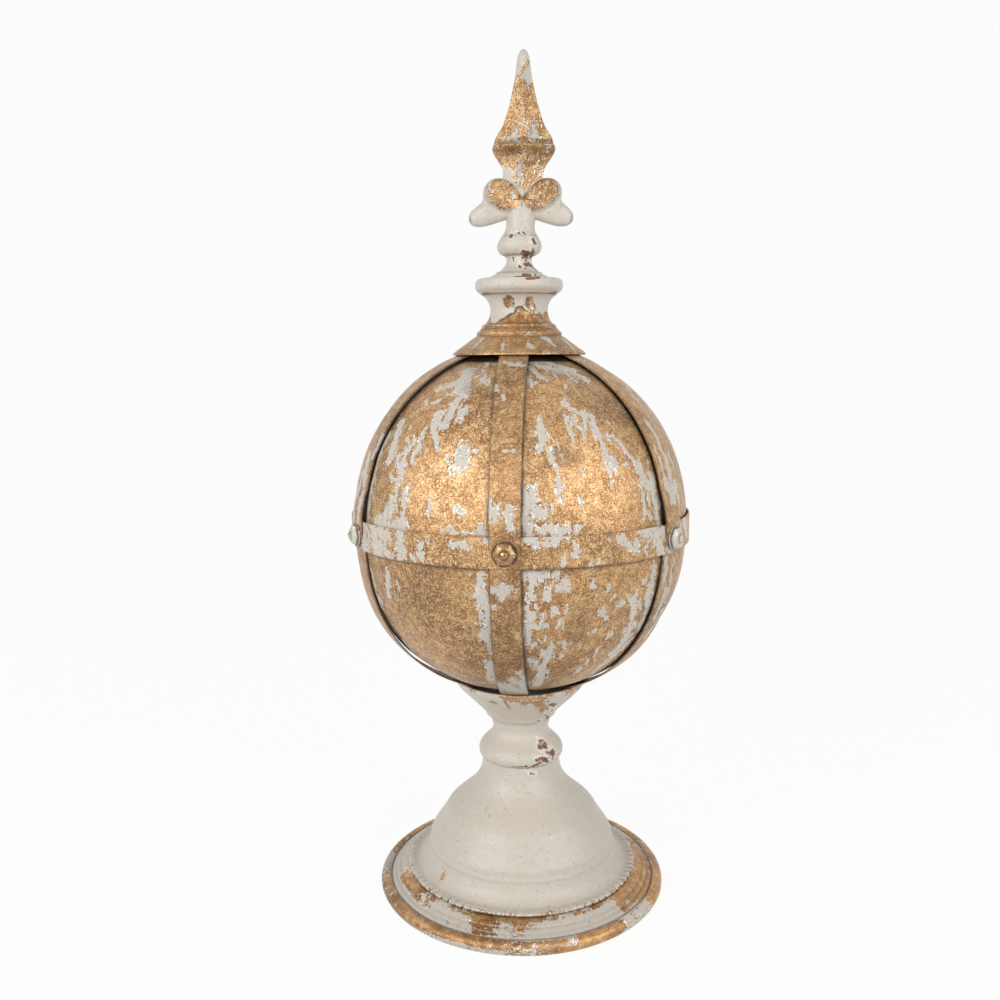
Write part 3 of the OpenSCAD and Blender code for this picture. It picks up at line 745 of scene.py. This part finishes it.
def panel(i):
    """One of the ball's six curved sheets, slightly buckled, with its edges under the straps."""
    half_seam = math.degrees(SEAM_W / BALL_R) / 2
    az0 = STRAP_A + 60 * i + half_seam
    t = np.linspace(0, PANEL_END, 90)
    line = np.concatenate([meridian(t[::-1], -1), meridian(t[1:], 1)])
    outline = sheet_outline(dense(line, 0.9), SHEET, 0.95, 10)
    v, q, c = turned(outline, 92, az0, az0 + 60 - 2 * half_seam)
    out = v / np.linalg.norm(v - [0, 0, BALL_Z], axis=1)[:, None]
    push = 0.40 * noise(v, 26, 31) + 0.12 * noise(v, 9, 32) + 0.04 * noise(v, 3.2, 33)
    axis = np.stack([out[:, 0], out[:, 1], (v[:, 2] - BALL_Z) / 92], 1)
    v = v + axis * (push - 0.15)[:, None]
    slope, z = ball_slope(v[:, 2]), v[:, 2]
    bare = stroke_field(v, BALL_CHIPS + FAR_CHIPS + CRUMBS, slope) - 0.19
    az = (azimuth(v) - STRAP_A) % 60
    side = np.radians(np.minimum(az, 60 - az)) * radius_of(v)
    # painted shade under and beside the straps' edges, in the gaps at the cap and cup and below the hoop;
    # painted shade also darkens the top and, in patches, the lower half; darker clouds in the gold
    soot_and_painted_shade = 1 - ease(side, STRAP_W / 2 - 0.6, STRAP_W / 2 + 0.4)
    soot_and_painted_shade = soot_and_painted_shade + 0.45 * swell(side, STRAP_W / 2 + 0.5, 0.9) * (0.6 + noise(v, 9, 38))
    soot_and_painted_shade = soot_and_painted_shade + ease(z, CAP_Z - 4.2, CAP_Z - 3.2) + 1 - ease(z, CUP_Z + 2.6, CUP_Z + 3.6)
    soot_and_painted_shade = soot_and_painted_shade + 0.55 * swell(z, BALL_Z - HOOP_H / 2 - 0.4, 1.0)
    soot_and_painted_shade = soot_and_painted_shade + 0.34 * ease(z, 280, 300) * (0.5 + 0.5 * noise(v, 12, 36))
    soot_and_painted_shade = soot_and_painted_shade + 0.16 * np.clip(noise(v, 20, 37), 0, 1) * (z < BALL_Z)
    soot_and_painted_shade = soot_and_painted_shade + 0.24 * ease(stroke_field(v, CLOUDS, slope, ragged=1.2, floor=0.0), 0.0, 0.7)
    add_piece(f"ball_panel_{i + 1}", v, q, c, fields(v, bare, 0.04, soot_and_painted_shade), "worn_gold_paint")


def strip(path, widths, az, thick, sag=0.3):
    """A flat bar of the given half widths along a path of (radius, height), rounded at its edges."""
    d = np.gradient(path, axis=0)
    d /= np.linalg.norm(d, axis=1)[:, None]
    nrm = np.stack([d[:, 1], -d[:, 0]], 1)
    nrm *= np.sign(nrm @ np.array([1.0, 0.0]) + 1e-6)[:, None]
    top = np.linspace(-1, 1, 19)
    around = [(u, 1.0 if abs(u) < 0.97 else 0.72) for u in top] + [(u, 0.0) for u in np.linspace(1, -1, 5)]
    rings = []
    for p, n, w in zip(path, nrm, widths):
        ring = []
        for u, h in around:
            r, z = p + n * (h * thick - sag * u * u * (2 * w / STRAP_W) ** 2)
            ring.append((r, u * w, z))
        rings.append(ring)
    return loft(set_at(rings, az))


def strap_fields(v, i, lower):
    """A strap's paint: its own chips in front, scattered ones behind, bare edges, and painted shade on its
    sides and over the lower straps.
    """
    chips = STRAP_CHIPS + scatter(40 + i, 150, 140, 290, 90, 270, (0.7, 1.8), (3, 16))
    bare = stroke_field(v, chips, ball_slope(v[:, 2])) - 0.12
    az = (azimuth(v) - STRAP_A - 60 * i + 180) % 360 - 180
    off = np.radians(np.abs(az)) * radius_of(v)
    # painted shade on the strap's sides and a little all over, more on the lower straps
    soot_and_painted_shade = 0.55 * swell(off, STRAP_W / 2 + 0.05, 0.35) + (0.14 if lower else 0.05)
    bare = bare + 0.16 * swell(off, STRAP_W / 2 - 0.3, 0.9) * (0.5 + noise(v, 8, 41 + i))
    return fields(v, bare, 0.06, soot_and_painted_shade, grit=0.75)


def upper_strap(i):
    """From under the cap down the ball, over the hoop and onto its face in a rounded tongue."""
    t = np.linspace(STRAP_END, 14, 90)
    gap = LIFT * np.sin(np.radians(90 * np.clip((t + 14) / 60, 0, 1)))
    path = meridian_at(t, 1, gap)
    lap = (HOOP_OUT + 0.05, BALL_Z + HOOP_H / 2 + 1)
    over = bezier([path[-1], (HOOP_OUT, BALL_Z + 16), lap], 14)[1:]
    down = dense([lap, (lap[0], BALL_Z - 4.4)], 0.7)[1:]
    path = dense(np.concatenate([path, over, down]), 0.9)
    drop = np.clip((BALL_Z + 3 - path[:, 1]) / (STRAP_W / 2), 0, 0.985)
    widths = STRAP_W / 2 * np.sqrt(1 - drop ** 2)
    v, q, c = strip(path, widths, STRAP_A + 60 * i, STRAP_T)
    v = v + (v * [1, 1, 0]) / 90 * (0.18 * noise(v, 18, 45))[:, None] * (v[:, 2:3] > BALL_Z + 12)
    add_piece(f"upper_strap_{i + 1}", v, q, c, strap_fields(v, i, False), "worn_gold_paint")


def lower_strap(i):
    """From under the hoop down the ball into the cup."""
    t = np.linspace(4, STRAP_END, 110)
    gap = LIFT * np.sin(np.radians(90 * np.clip((t - 4) / 36, 0, 1)))
    path = dense(np.concatenate([[(BALL_R, BALL_Z - 0.5)], meridian_at(t, -1, gap)]), 0.9)
    v, q, c = strip(path, np.full(len(path), STRAP_W / 2), STRAP_A + 60 * i, STRAP_T)
    add_piece(f"lower_strap_{i + 1}", v, q, c, strap_fields(v, i, True), "worn_gold_paint")


def hoop():
    """The flat band round the ball's middle."""
    lo, hi = BALL_Z - HOOP_H / 2, BALL_Z + HOOP_H / 2
    corner = 0.25
    face = dense([(HOOP_OUT - corner, lo), (HOOP_OUT, lo + corner),
                  (HOOP_OUT, hi - corner), (HOOP_OUT - corner, hi)], 0.9)
    outline = np.concatenate([face, [(HOOP_IN, hi), (HOOP_IN, BALL_Z), (HOOP_IN, lo)]])

    def bent(a, r, z):
        """Springs in a little between the straps, and waves."""
        lap = np.exp(-(((a - STRAP_A + 30) % 60 - 30) / 5.2) ** 4)
        wave = 0.14 * np.sin(np.radians(a * 9 + 20)) + 0.1 * np.sin(np.radians(a * 17))
        return r - 0.28 * (1 - lap) * (1 + wave), z + 0.22 * wave * (1 - lap)
    v, q, c = turned(outline, 660, radial=bent)
    chips = HOOP_CHIPS + scatter(51, 60, 204, 217, 82, 272, (0.9, 2.6), (2, 10))
    chips = chips + crumbs(26, [(-62, -44, 203, 216, 12), (20, 52, 203, 216, 16)])
    bare = stroke_field(v, chips) - 0.16
    # painted shadow along the hoop's lower edge, where it stands off the ball
    paint_fields = fields(v, bare, 0.06, 0.4 * swell(v[:, 2], lo, 0.5), stretch=0.6)
    add_piece("hoop", v, q, c, paint_fields, "worn_gold_paint")


def bolt(i):
    """Head of a bolt: round flange, hexagon, dome and nub, lying on the strap."""
    n = 60
    a = np.linspace(0, 360, n, endpoint=False)
    across, up = np.cos(np.radians(a)), np.sin(np.radians(a))
    flats = math.cos(math.radians(30)) / np.cos(np.radians((a % 60) - 30))
    # share of the radius, height, and how far it is a hexagon
    steps = [(1.0, 0.0, 0), (1.0, 0.45, 0), (0.96, 0.75, 0), (0.86, 0.86, 0),
             (0.90, 0.84, 1), (0.92, 1.7, 1), (0.88, 2.1, 1), (0.80, 2.35, 0.8),
             (0.66, 2.9, 0.5), (0.50, 3.4, 0.2), (0.36, 3.6, 0), (0.30, 3.65, 0),
             (0.28, 3.8, 0), (0.27, 4.3, 0), (0.20, 4.65, 0), (0.08, 4.75, 0)]
    rings = []
    for share, h, hexed in steps:
        r = BOLT_R * share * (1 - hexed + hexed * flats)
        out = np.full(n, HOOP_OUT + STRAP_T + h)
        rings.append(np.stack([out, r * across, BALL_Z + 0.02 * h + r * up], 1))
    v, q, c = loft(set_at(rings, STRAP_A + 60 * i))
    h = np.repeat([s[1] for s in steps], n)
    # painted shade in the creases where the flange meets the hexagon, at the foot of the nub and where the
    # head meets the strap
    soot_and_painted_shade = 0.75 * swell(h, 0.85, 0.3) + 0.6 * swell(h, 3.65, 0.16) + 0.5 * swell(h, 0.0, 0.3)
    # the two bolts at the sides have lost their gold
    bare = -0.35 + 0.25 * noise(v, 5, 60 + i) + (0.95 if i in (1, 5) else 0.0)
    add_piece(f"bolt_{i + 1}", v, q, c, fields(v, bare, 0.12, soot_and_painted_shade, stretch=1), "gilded_bolt", sharp=32)


# ---- cap and collar ----
def fine_bead(cx, cz, r):
    """The outline of a thin turned ring."""
    t = np.radians(np.linspace(-30, 80, 9))
    return np.stack([cx + r * np.cos(t), cz + r * np.sin(t)], 1)


def cap():
    """A conical skirt, two fine beads and a waisted throat."""
    skirt = [(CAP_R, CAP_Z), (CAP_R, CAP_Z + 0.9), (CAP_R - 1.2, CAP_Z + 1.9), (CAP_R - 11.2, CAP_Z + 9.2),
             (CAP_R - 12.8, CAP_Z + 10)]
    throat = bezier([(CAP_R - 17.2, CAP_Z + 16.4), (WAIST_R + 0.2, CAP_Z + 18.6), (WAIST_R - 1.4, CAP_Z + 25),
                     (WAIST_R + 0.6, CAP_Z + 29), (DISC_R - 4, DISC_Z)], 26)
    line = np.concatenate([skirt, fine_bead(CAP_R - 13.8, CAP_Z + 11.4, 0.9),
                           fine_bead(CAP_R - 16.6, CAP_Z + 15.2, 0.8), throat])
    v, q, c = turned(sheet_outline(line, SHEET, 0.7), 230)
    out_of_true(v, 0.004, 11, 71)
    az, z = azimuth(v), v[:, 2]
    chips = [(6, 311, 15, 311, 0.55), (29, 310, 33, 308, 0.8), (-17, 306, -16, 304, 0.6),
             (8, 306, 11, 305, 0.8), (33, 306, 35, 305, 0.4), (-50, 308, -48, 305, 0.5),
             (60, 308, 58, 304, 0.6), (95, 309, 99, 303, 1.0), (140, 308, 143, 303, 1.2),
             (-120, 309, -124, 303, 1.2), (175, 307, 178, 303, 1.0)]
    # greige above a jagged line round the throat, which peaks at the front
    brink = WAIST_Z + 4.4 * swell(az, 2, 13) - 4.6 * swell(az, -50, 20)
    brink = brink + 1.5 * noise(v, 2.6, 72) + 1.0 * noise(v, 9, 73)
    above = np.clip((z - brink) / 1.2, -1.4, 1)
    spots = [(-22, 328.2, -19, 328.4, 2.3), (17, 329, 18, 328, 1.5), (19, 327, 25, 325, 1.9)]
    spots = stroke_field(v, spots, ragged=0.35, floor=0.0)
    bare = np.maximum(stroke_field(v, chips, ragged=0.6), 0.42 + 0.62 * above)
    bare = bare - 0.3 * between(z, CAP_Z + 9, CAP_Z + 17, 0.5) - 2.1 * spots
    soot_and_painted_shade = 1.5 * swell(z - brink, -0.6, 0.55) * np.clip(0.4 + swell(az, 0, 16) + 0.7 * noise(v, 4, 74), 0, 1)
    soot_and_painted_shade = soot_and_painted_shade + 0.6 * swell(spots, 0.46, 0.08) + 0.2 * (spots > 0.5) + 0.10 * (z < CAP_Z + 10)
    # painted shade in the grooves under the two beads and under the collar
    for groove, dirt_and_painted_shade, width in ((CAP_Z + 10.3, 0.6, 0.35), (CAP_Z + 13.6, 0.5, 0.5), (DISC_Z, 0.45, 0.5)):
        soot_and_painted_shade = soot_and_painted_shade + dirt_and_painted_shade * swell(z, groove, width)
    rusted = [(-16, 329, -14, 327, 0.7), (22, 329, 25, 325, 0.7)]
    rust = 0.6 * stroke_field(v, rusted, ragged=0.3, floor=0.0)
    paint_fields = fields(v, bare, rust, soot_and_painted_shade, radius=26.0, stretch=0.7, grit=0.6)
    add_piece("cap", v, q, c, paint_fields, "worn_gold_paint")


def collar():
    """A hollow disc with a rounded rim."""
    mid = DISC_Z + DISC_H / 2
    line = np.concatenate([
        [(DISC_R - 5.4, DISC_Z), (DISC_R - 3.2, DISC_Z + 0.4)],
        bezier([(DISC_R - 2.2, DISC_Z + 1.4), (DISC_R, DISC_Z + 2.6), (DISC_R, mid)], 8),
        bezier([(DISC_R, mid + 1), (DISC_R, DISC_TOP - 0.1), (DISC_R - 2.6, DISC_TOP)], 10),
        [(DISC_R - 7, DISC_TOP + 0.2), (4, DISC_TOP + 0.2)]])
    v, q, c = turned(sheet_outline(line, SHEET, 0.7), 240)
    out_of_true(v, 0.004, 9, 81)
    az, r, z = azimuth(v), radius_of(v), v[:, 2]
    scratch = stroke_field(v, [(0, 341.3, 24, 341.2, 0.5)], ragged=0.2, floor=0.0)
    bare = 0.95 + 0.07 * noise(v, 8, 82) - 0.5 * scratch
    rusted = [(-6, 341.0, 30, 341.0, 0.8), (8, 339.3, 26, 339.5, 0.6),
              (-70, 333, -62, 333, 0.8), (62, 333, 70, 333, 0.8)]
    rust = 1.1 * stroke_field(v, rusted, ragged=0.3, floor=0.0) * (r > DISC_R - 3)
    soot_and_painted_shade = 0.8 * (swell(az, -58, 9) + swell(az, 58, 8)) * swell(z, DISC_Z + 0.4, 0.9)
    soot_and_painted_shade = soot_and_painted_shade + 0.5 * swell(z, DISC_Z, 0.5) + 0.6 * swell(r, 15.6, 0.7) * (z > mid)
    paint_fields = fields(v, bare, rust, soot_and_painted_shade, radius=22.0, stretch=0.6)
    add_piece("collar", v, q, c, paint_fields, "greige_paint")


# ---- fleur-de-lis spear ----
def blunt(v, r):
    """A quarter round of radius r, from the tip."""
    return np.sqrt(1 - (1 - np.clip(v / r, 0.02, 1)) ** 2)


def spear_half(z):
    """Half the spear's width: a blade that flares to its bar, and a foot that tapers to the stem."""
    v = TIP_Z - z
    u = np.clip(v / (TIP_Z - BAR_Z), 0, None)
    blade = blunt(v, 5) * (2.6 + 0.12 * v + (SPEAR_W - 8.6) * u ** 2.7 + 1.2 * swell(v, 44, 4))
    foot = 10.8 + (SPEAR_W - 10.8) * ease(z, BAR_Z - 12, BAR_Z - 1)
    foot = foot - 4.6 * (1 - ease(z, STEM_TOP - 4, STEM_TOP + 10))
    return np.where(z > BAR_Z, blade, foot)


def spear_deep(z):
    """Half the spear's thickness."""
    v = TIP_Z - z
    u = np.clip(v / (TIP_Z - BAR_Z), 0, 1)
    blade = blunt(v, 5) * (2.7 + (SPEAR_D - 2.7) * u ** 1.3)
    return np.where(z > BAR_Z, blade, 5.0 + (SPEAR_D - 5.0) * ease(z, BAR_Z - 16, BAR_Z))


def blade():
    """The spear: a ridged blade over a plump bar."""
    below_tip = np.array([4.4, 3.6, 2.8, 2, 1.4, 0.9, 0.5, 0.2, 0.05])
    z = np.concatenate([np.arange(STEM_TOP - 3, TIP_Z - 5, 0.8), TIP_Z - below_tip])
    n = 72
    a = np.radians(np.arange(n) * 360 / n)
    c, s = np.cos(a), np.sin(a)
    rings = []
    for h in z:
        w, d = float(spear_half(np.array(h))), float(spear_deep(np.array(h)))
        bar = float(swell(h, BAR_Z, 2.9) ** 2)
        tip = float(ease(np.array(TIP_Z - h), 0, 16))
        ridge = tip * (1 - bar)
        u = np.abs(c)
        sharp = 0.80 * (1 - u) ** 1.55 + 0.20 * np.sqrt(1 - u * u)
        plump = np.sqrt(1 - u * u) ** 0.9
        y = (d + 1.3 * bar) * (ridge * sharp + (1 - ridge) * plump) * np.sign(s)
        edge = 0.5 * (u > 0.92) * ridge * np.sign(s) * np.sqrt(np.clip(1 - u * u, 0, 1))
        rings.append(np.stack([(w + 0.5 * bar) * c, y + edge, np.full(n, h)], 1))
    return loft(rings)


def crown_at(x, z):
    """0 in the middle of a leaf's gilded crown, 1 at its rim: an oval that slants down to the stem."""
    dx, dz = np.abs(x) - 9.8, z - (STEM_TOP + 1.6)
    return np.hypot((0.8 * dx + 0.6 * dz) / 10.2, (0.8 * dz - 0.6 * dx) / 7.4)


def leaf(side):
    """One side leaf: a round crown that rolls over into a drooping tip."""
    st = STEM_TOP
    top = np.concatenate([
        bezier([(2, st + 3), (8, st + 13), (19.4, st + 13.4), (22.0, st + 5), (20.6, st + 0.2)], 44),
        bezier([(20.7, st - 0.7), (22.0, st - 4.0), (26.0, st - 5.0), (LEAF_REACH + 0.8, st - 7.4),
                (LEAF_REACH + 0.4, st - 10.4)], 25)])
    low = bezier([(2, st - 10), (7, st - 10.5), (13, st - 12), (19.4, st - 16.6), (LEAF_REACH - 0.2, st - 16),
                  (LEAF_REACH + 0.4, st - 10.8)], 70)
    n = 44
    a = np.radians(np.arange(n) * 360 / n)
    rings = []
    for p, q, k in zip(top, low, np.linspace(0, 1, 71)):
        mid, half = (p + q) / 2, (p - q) / 2
        v = np.cos(a)
        x, z = mid[0] + half[0] * v, mid[1] + half[1] * v
        deep = 6.0 * (1 - 0.50 * k ** 1.6) * np.sqrt(max(1 - k ** 6, 0.01))
        crown = crown_at(x, z)
        fold = 1 - 0.14 * swell(crown, 0.3, 0.45) + 0.12 * swell(crown, 0.84, 0.16)
        fold = fold - 0.22 * swell(crown, 1.12, 0.12) * (z < st + 1)
        y = deep * np.sign(np.sin(a)) * np.abs(np.sin(a)) ** 0.8 * fold
        rings.append(np.stack([side * x, y, z], 1))
    return loft(rings)


def blade_wear(v):
    """Gold kept on the blade, but for its point, ridge and edges."""
    x, z = v[:, 0], v[:, 2]
    front = np.where(v[:, 1] < 0, 1.0, 0.6)
    ragged = z + 2.2 * noise(v, 2.6, 92) + 0.5 * np.abs(x)
    bare = -0.26 + 1.24 * ease(ragged, TIP_Z - 16.5, TIP_Z - 14) + 0.12 * noise(v, 3, 96)
    bare = bare - 1.2 * swell(x - 2.3 - (z - 451.5) * 0.62, 0, 1.5) * between(z, 438, 452.5, 1.5)
    bare = bare + 0.60 * swell(x, 1.2 - (z - 418) * 0.30, 0.8) * swell(z, 418, 7) * front
    bare = bare + 0.85 * swell(x, -1.6, 2.0) * swell(z, 396, 7) * front
    # worn patches: amount, across and its width, height and its width
    patches = [(0.75, 5.5, 2.2, 416, 5), (0.65, -4.5, 1.4, 416, 4.5), (0.80, -6.5, 4.5, BAR_Z + 4.4, 1.3),
               (0.5, 8, 4, BAR_Z + 4.6, 1.2), (0.90, -8.4, 2.4, 395, 4.5), (0.60, 7.5, 2.0, 400, 3.0),
               (0.4, 13, 2, 408, 4)]
    for amount, across, wide, height, high in patches:
        bare = bare + amount * swell(x, across, wide) * swell(z, height, high)
    return bare


def leaf_wear(v, bare):
    """Gold only on the leaves' crowns, worn where they meet and curl; below them the primer shows."""
    x, z, st = v[:, 0], v[:, 2], STEM_TOP
    side = np.abs(x)
    front = np.where(v[:, 1] < 0, 1.0, 0.6)
    crown = crown_at(x, z)
    bare = bare + 1.0 * ease(crown, 0.90, 1.04) * (side > 1.5) * (z < st + 15) * ease(side, 8, 12)
    bare = bare + 0.5 * np.clip(noise(v, 2.6, 97), 0, 1) * (crown < 0.9) * (z < st + 6)
    vee = swell(side - 0.72 * (z - st - 0.5) + 1.2 * noise(v, 3, 98), 0, 1.0)
    vee = vee * between(z, st - 1, st + 12, 1.5)
    curl = swell(crown, 0.50, 0.07) * (z < st + 3) * (side < 11) * np.clip(0.6 + noise(v, 2.2, 93), 0, 1)
    bare = bare + (0.9 * vee + 0.55 * curl) * front
    below = z - (st - 3.5) - side * 0.8
    under = (below < 0) & (z < st + 4) & (crown > 1)
    bare = np.where(under, np.maximum(bare, 0.75 - 0.3 * ease(below, -4, 0)), bare)
    return np.where(z < st - 8, 0.92, bare)


def spear_dirt_and_painted_shade(v, base):
    """Painted shade in the creases of the leaves, under their curls and in the grooves of stem and bar; dirt
    at the leaves' tips and along their rims.
    """
    x, z, st = v[:, 0], v[:, 2], STEM_TOP
    side = np.abs(x)
    crown = crown_at(x, z)
    crease = swell(np.abs(z - (st - 3) - side * 1.35), 0, 0.8) * (side < 9) * (z < st + 12) * (z > st - 6)
    soot_and_painted_shade = 0.07 * (z > st - 6) + 0.12 * crease + 0.25 * swell(crown, 1.08, 0.08) * (z < st + 1) * (side > 5)
    soot_and_painted_shade = soot_and_painted_shade + 0.4 * ease(side, LEAF_REACH - 2.2, LEAF_REACH) * (0.6 + noise(v, 3, 99))
    patchy = np.clip(0.3 + noise(v, 4, 94), 0, 1)
    soot_and_painted_shade = soot_and_painted_shade + 0.5 * swell(crown, 1.0, 0.05) * (z > st) * (side > 12) * patchy
    grooves = [(0.35, BAR_Z - 3.6, 0.6), (0.30, BAR_Z + 3.6, 0.5), (0.55, base + 11.9, 0.5),
               (0.4, base + 2.6, 0.5), (0.3, base + 21.8, 0.7)]
    for amount, height, high in grooves:
        soot_and_painted_shade = soot_and_painted_shade + amount * swell(z, height, high)
    return soot_and_painted_shade


def fleur_spear():
    """One casting: stepped foot, bead and stem, two leaves and the spear, leaning a little to the right."""
    base = DISC_TOP + 0.2
    line = np.concatenate([
        [(0.05, base), (15, base), (15, base + 1.2), (12.6, base + 2.4)],
        bezier([(12.4, base + 2.9), (6.4, base + 5.6), (5.4, base + 10.4), (8, base + 12)], 16),
        bezier([(8.8, base + 12.3), (KNOP_R + 2.4, base + 14.2), (KNOP_R + 1.2, base + 21),
                (8, base + 21.6), (7.7, base + 27)], 24),
        [(7.9, STEM_TOP - 2), (0.05, STEM_TOP + 4)]])
    stem = turned(dense(line, 0.7), 120)
    v, q, c = join([stem, blade(), leaf(1), leaf(-1)])
    z = v[:, 2]
    v = v + 0.10 * np.stack([noise(v, 4, 91), noise(v, 4, 92), 0 * z], 1) * (v[:, 2:3] > base + 3)
    foot_rust = [(-6, 342, 32, 342, 1.0), (10, 353.5, 60, 352, 2.2), (20, 349, 70, 346.5, 2.0),
                 (0, 348, 20, 346, 1.0), (-25, 351, -20, 350, 0.7)]
    bead_rust = [(-32, 363, -26, 362, 1.0), (-10, 364, -4, 363, 1.1), (10, 364, 16, 363, 0.9),
                 (28, 361, 44, 359, 1.5)]
    on_foot = stroke_field(v, foot_rust, ragged=0.8, floor=0.0)
    on_bead = stroke_field(v, bead_rust, ragged=0.5, floor=0.0)
    rust = np.where(z > base + 15.8, on_bead, on_foot)
    rust = rust * (z < STEM_TOP - 12) * np.clip(0.75 + 0.6 * noise(v, 1.8, 95), 0, 1)
    bare, soot_and_painted_shade = leaf_wear(v, blade_wear(v)), spear_dirt_and_painted_shade(v, base)
    v = v + np.stack([2.8 * ease(z, 345, BAR_Z - 0.5), 0 * z, 0 * z], 1)
    paint_fields = fields(v, bare, rust, soot_and_painted_shade, radius=14.0, stretch=0.5)
    add_piece("fleur_spear", v, q, c, paint_fields, "worn_gold_paint", sharp=50)


foot_plate()
foot_bell()
stem_cup()
for number in range(6):
    panel(number)
    lower_strap(number)
    upper_strap(number)
    bolt(number)
hoop()
cap()
collar()
fleur_spear()


# ---- floor, light, camera ----
AMBIENT = 0.42
FLOOR_R, WALL_TOP = 1.6, 3.4
AIM_Z = 0.22


def floor():
    """A round floor that curves up into a wall, pale grey to light and white to the camera."""
    mesh = bpy.data.meshes.new("floor")
    curve = [(FLOOR_R + FLOOR_R * math.sin(t), FLOOR_R - FLOOR_R * math.cos(t))
             for t in np.linspace(0.1, math.pi / 2, 14)]
    line = [(0.001, 0.0), (FLOOR_R, 0.0)] + curve + [(2 * FLOOR_R, WALL_TOP)]
    n = 96
    turn = [2 * math.pi * j / n for j in range(n)]
    mesh.from_pydata([(r * math.cos(a), r * math.sin(a), z) for r, z in line for a in turn], [],
                     [(i * n + j, i * n + (j + 1) % n, (i + 1) * n + (j + 1) % n, (i + 1) * n + j)
                      for i in range(len(line) - 1) for j in range(n)] + [tuple(range(n))[::-1]])
    mesh.polygons.foreach_set("use_smooth", [True] * len(mesh.polygons))
    obj = bpy.data.objects.new("floor", mesh)
    bpy.context.scene.collection.objects.link(obj)
    mat = bpy.data.materials.new("white_floor")
    mat.use_nodes = True
    k = Nodes(mat.node_tree)
    shader = k.nodes["Principled BSDF"]
    grain = k.noise(k.millimetres(), 0.01, 2)
    k.put(shader.inputs["Base Color"], k.mix(grain, (0.90, 0.90, 0.90, 1), (0.93, 0.93, 0.93, 1)))
    shader.inputs["Roughness"].default_value = 0.9
    shader.inputs["Specular IOR Level"].default_value = 0.0
    glow = k.nodes.new("ShaderNodeEmission")
    blend = k.nodes.new("ShaderNodeMixShader")
    k.put(blend.inputs[0], k.math("MULTIPLY", k.seen_directly(), 0.95))
    k.links.new(shader.outputs[0], blend.inputs[1])
    k.links.new(glow.outputs[0], blend.inputs[2])
    k.links.new(blend.outputs[0], k.nodes["Material Output"].inputs["Surface"])
    mesh.materials.append(mat)


def world():
    """A white studio that lights things less than it shows."""
    w = bpy.data.worlds.new("studio")
    bpy.context.scene.world = w
    w.use_nodes = True
    k = Nodes(w.node_tree)
    back = k.nodes["Background"]
    back.inputs["Color"].default_value = (1, 1, 1, 1)
    k.put(back.inputs["Strength"], k.math("MULTIPLY_ADD", k.seen_directly(), 1 - AMBIENT, AMBIENT))


def softbox(name, az, elevation, distance, size, power):
    """A rectangular light aimed at the middle of the finial."""
    light = bpy.data.lights.new(name, "AREA")
    light.shape, light.size, light.size_y, light.energy = "RECTANGLE", size[0], size[1], power
    obj = bpy.data.objects.new(name, light)
    a, e = math.radians(az), math.radians(elevation)
    towards = np.array([math.sin(a) * math.cos(e), -math.cos(a) * math.cos(e), math.sin(e)])
    obj.location = np.array([0, 0, AIM_Z]) + distance * towards
    obj.rotation_euler = Euler((math.pi / 2 - e, 0, a))
    bpy.context.scene.collection.objects.link(obj)


world()
floor()
softbox("softbox_left", -47, 21, 1.15, (0.85, 0.45), 6.3)
softbox("softbox_right", 46, 20, 1.15, (0.80, 0.45), 4.9)

# the lens in millimetres, then the camera's place in millimetres and its tilt in degrees
LENS, CAMERA_X, CAMERA_Y, CAMERA_Z, PITCH, ROLL = 34.81, -11.0, -530.1, 296.4, 8.04, -0.4
data = bpy.data.cameras.new("camera")
data.lens, data.sensor_width = LENS, 36.0
data.clip_start = 0.01
camera = bpy.data.objects.new("camera", data)
place = Matrix.Translation((CAMERA_X * MM, CAMERA_Y * MM, CAMERA_Z * MM))
camera.matrix_world = (place @ Matrix.Rotation(math.radians(90 - PITCH), 4, "X")
                       @ Matrix.Rotation(math.radians(ROLL), 4, "Z"))
bpy.context.scene.collection.objects.link(camera)
bpy.context.scene.camera = camera
bpy.context.scene.view_settings.view_transform = "Standard"
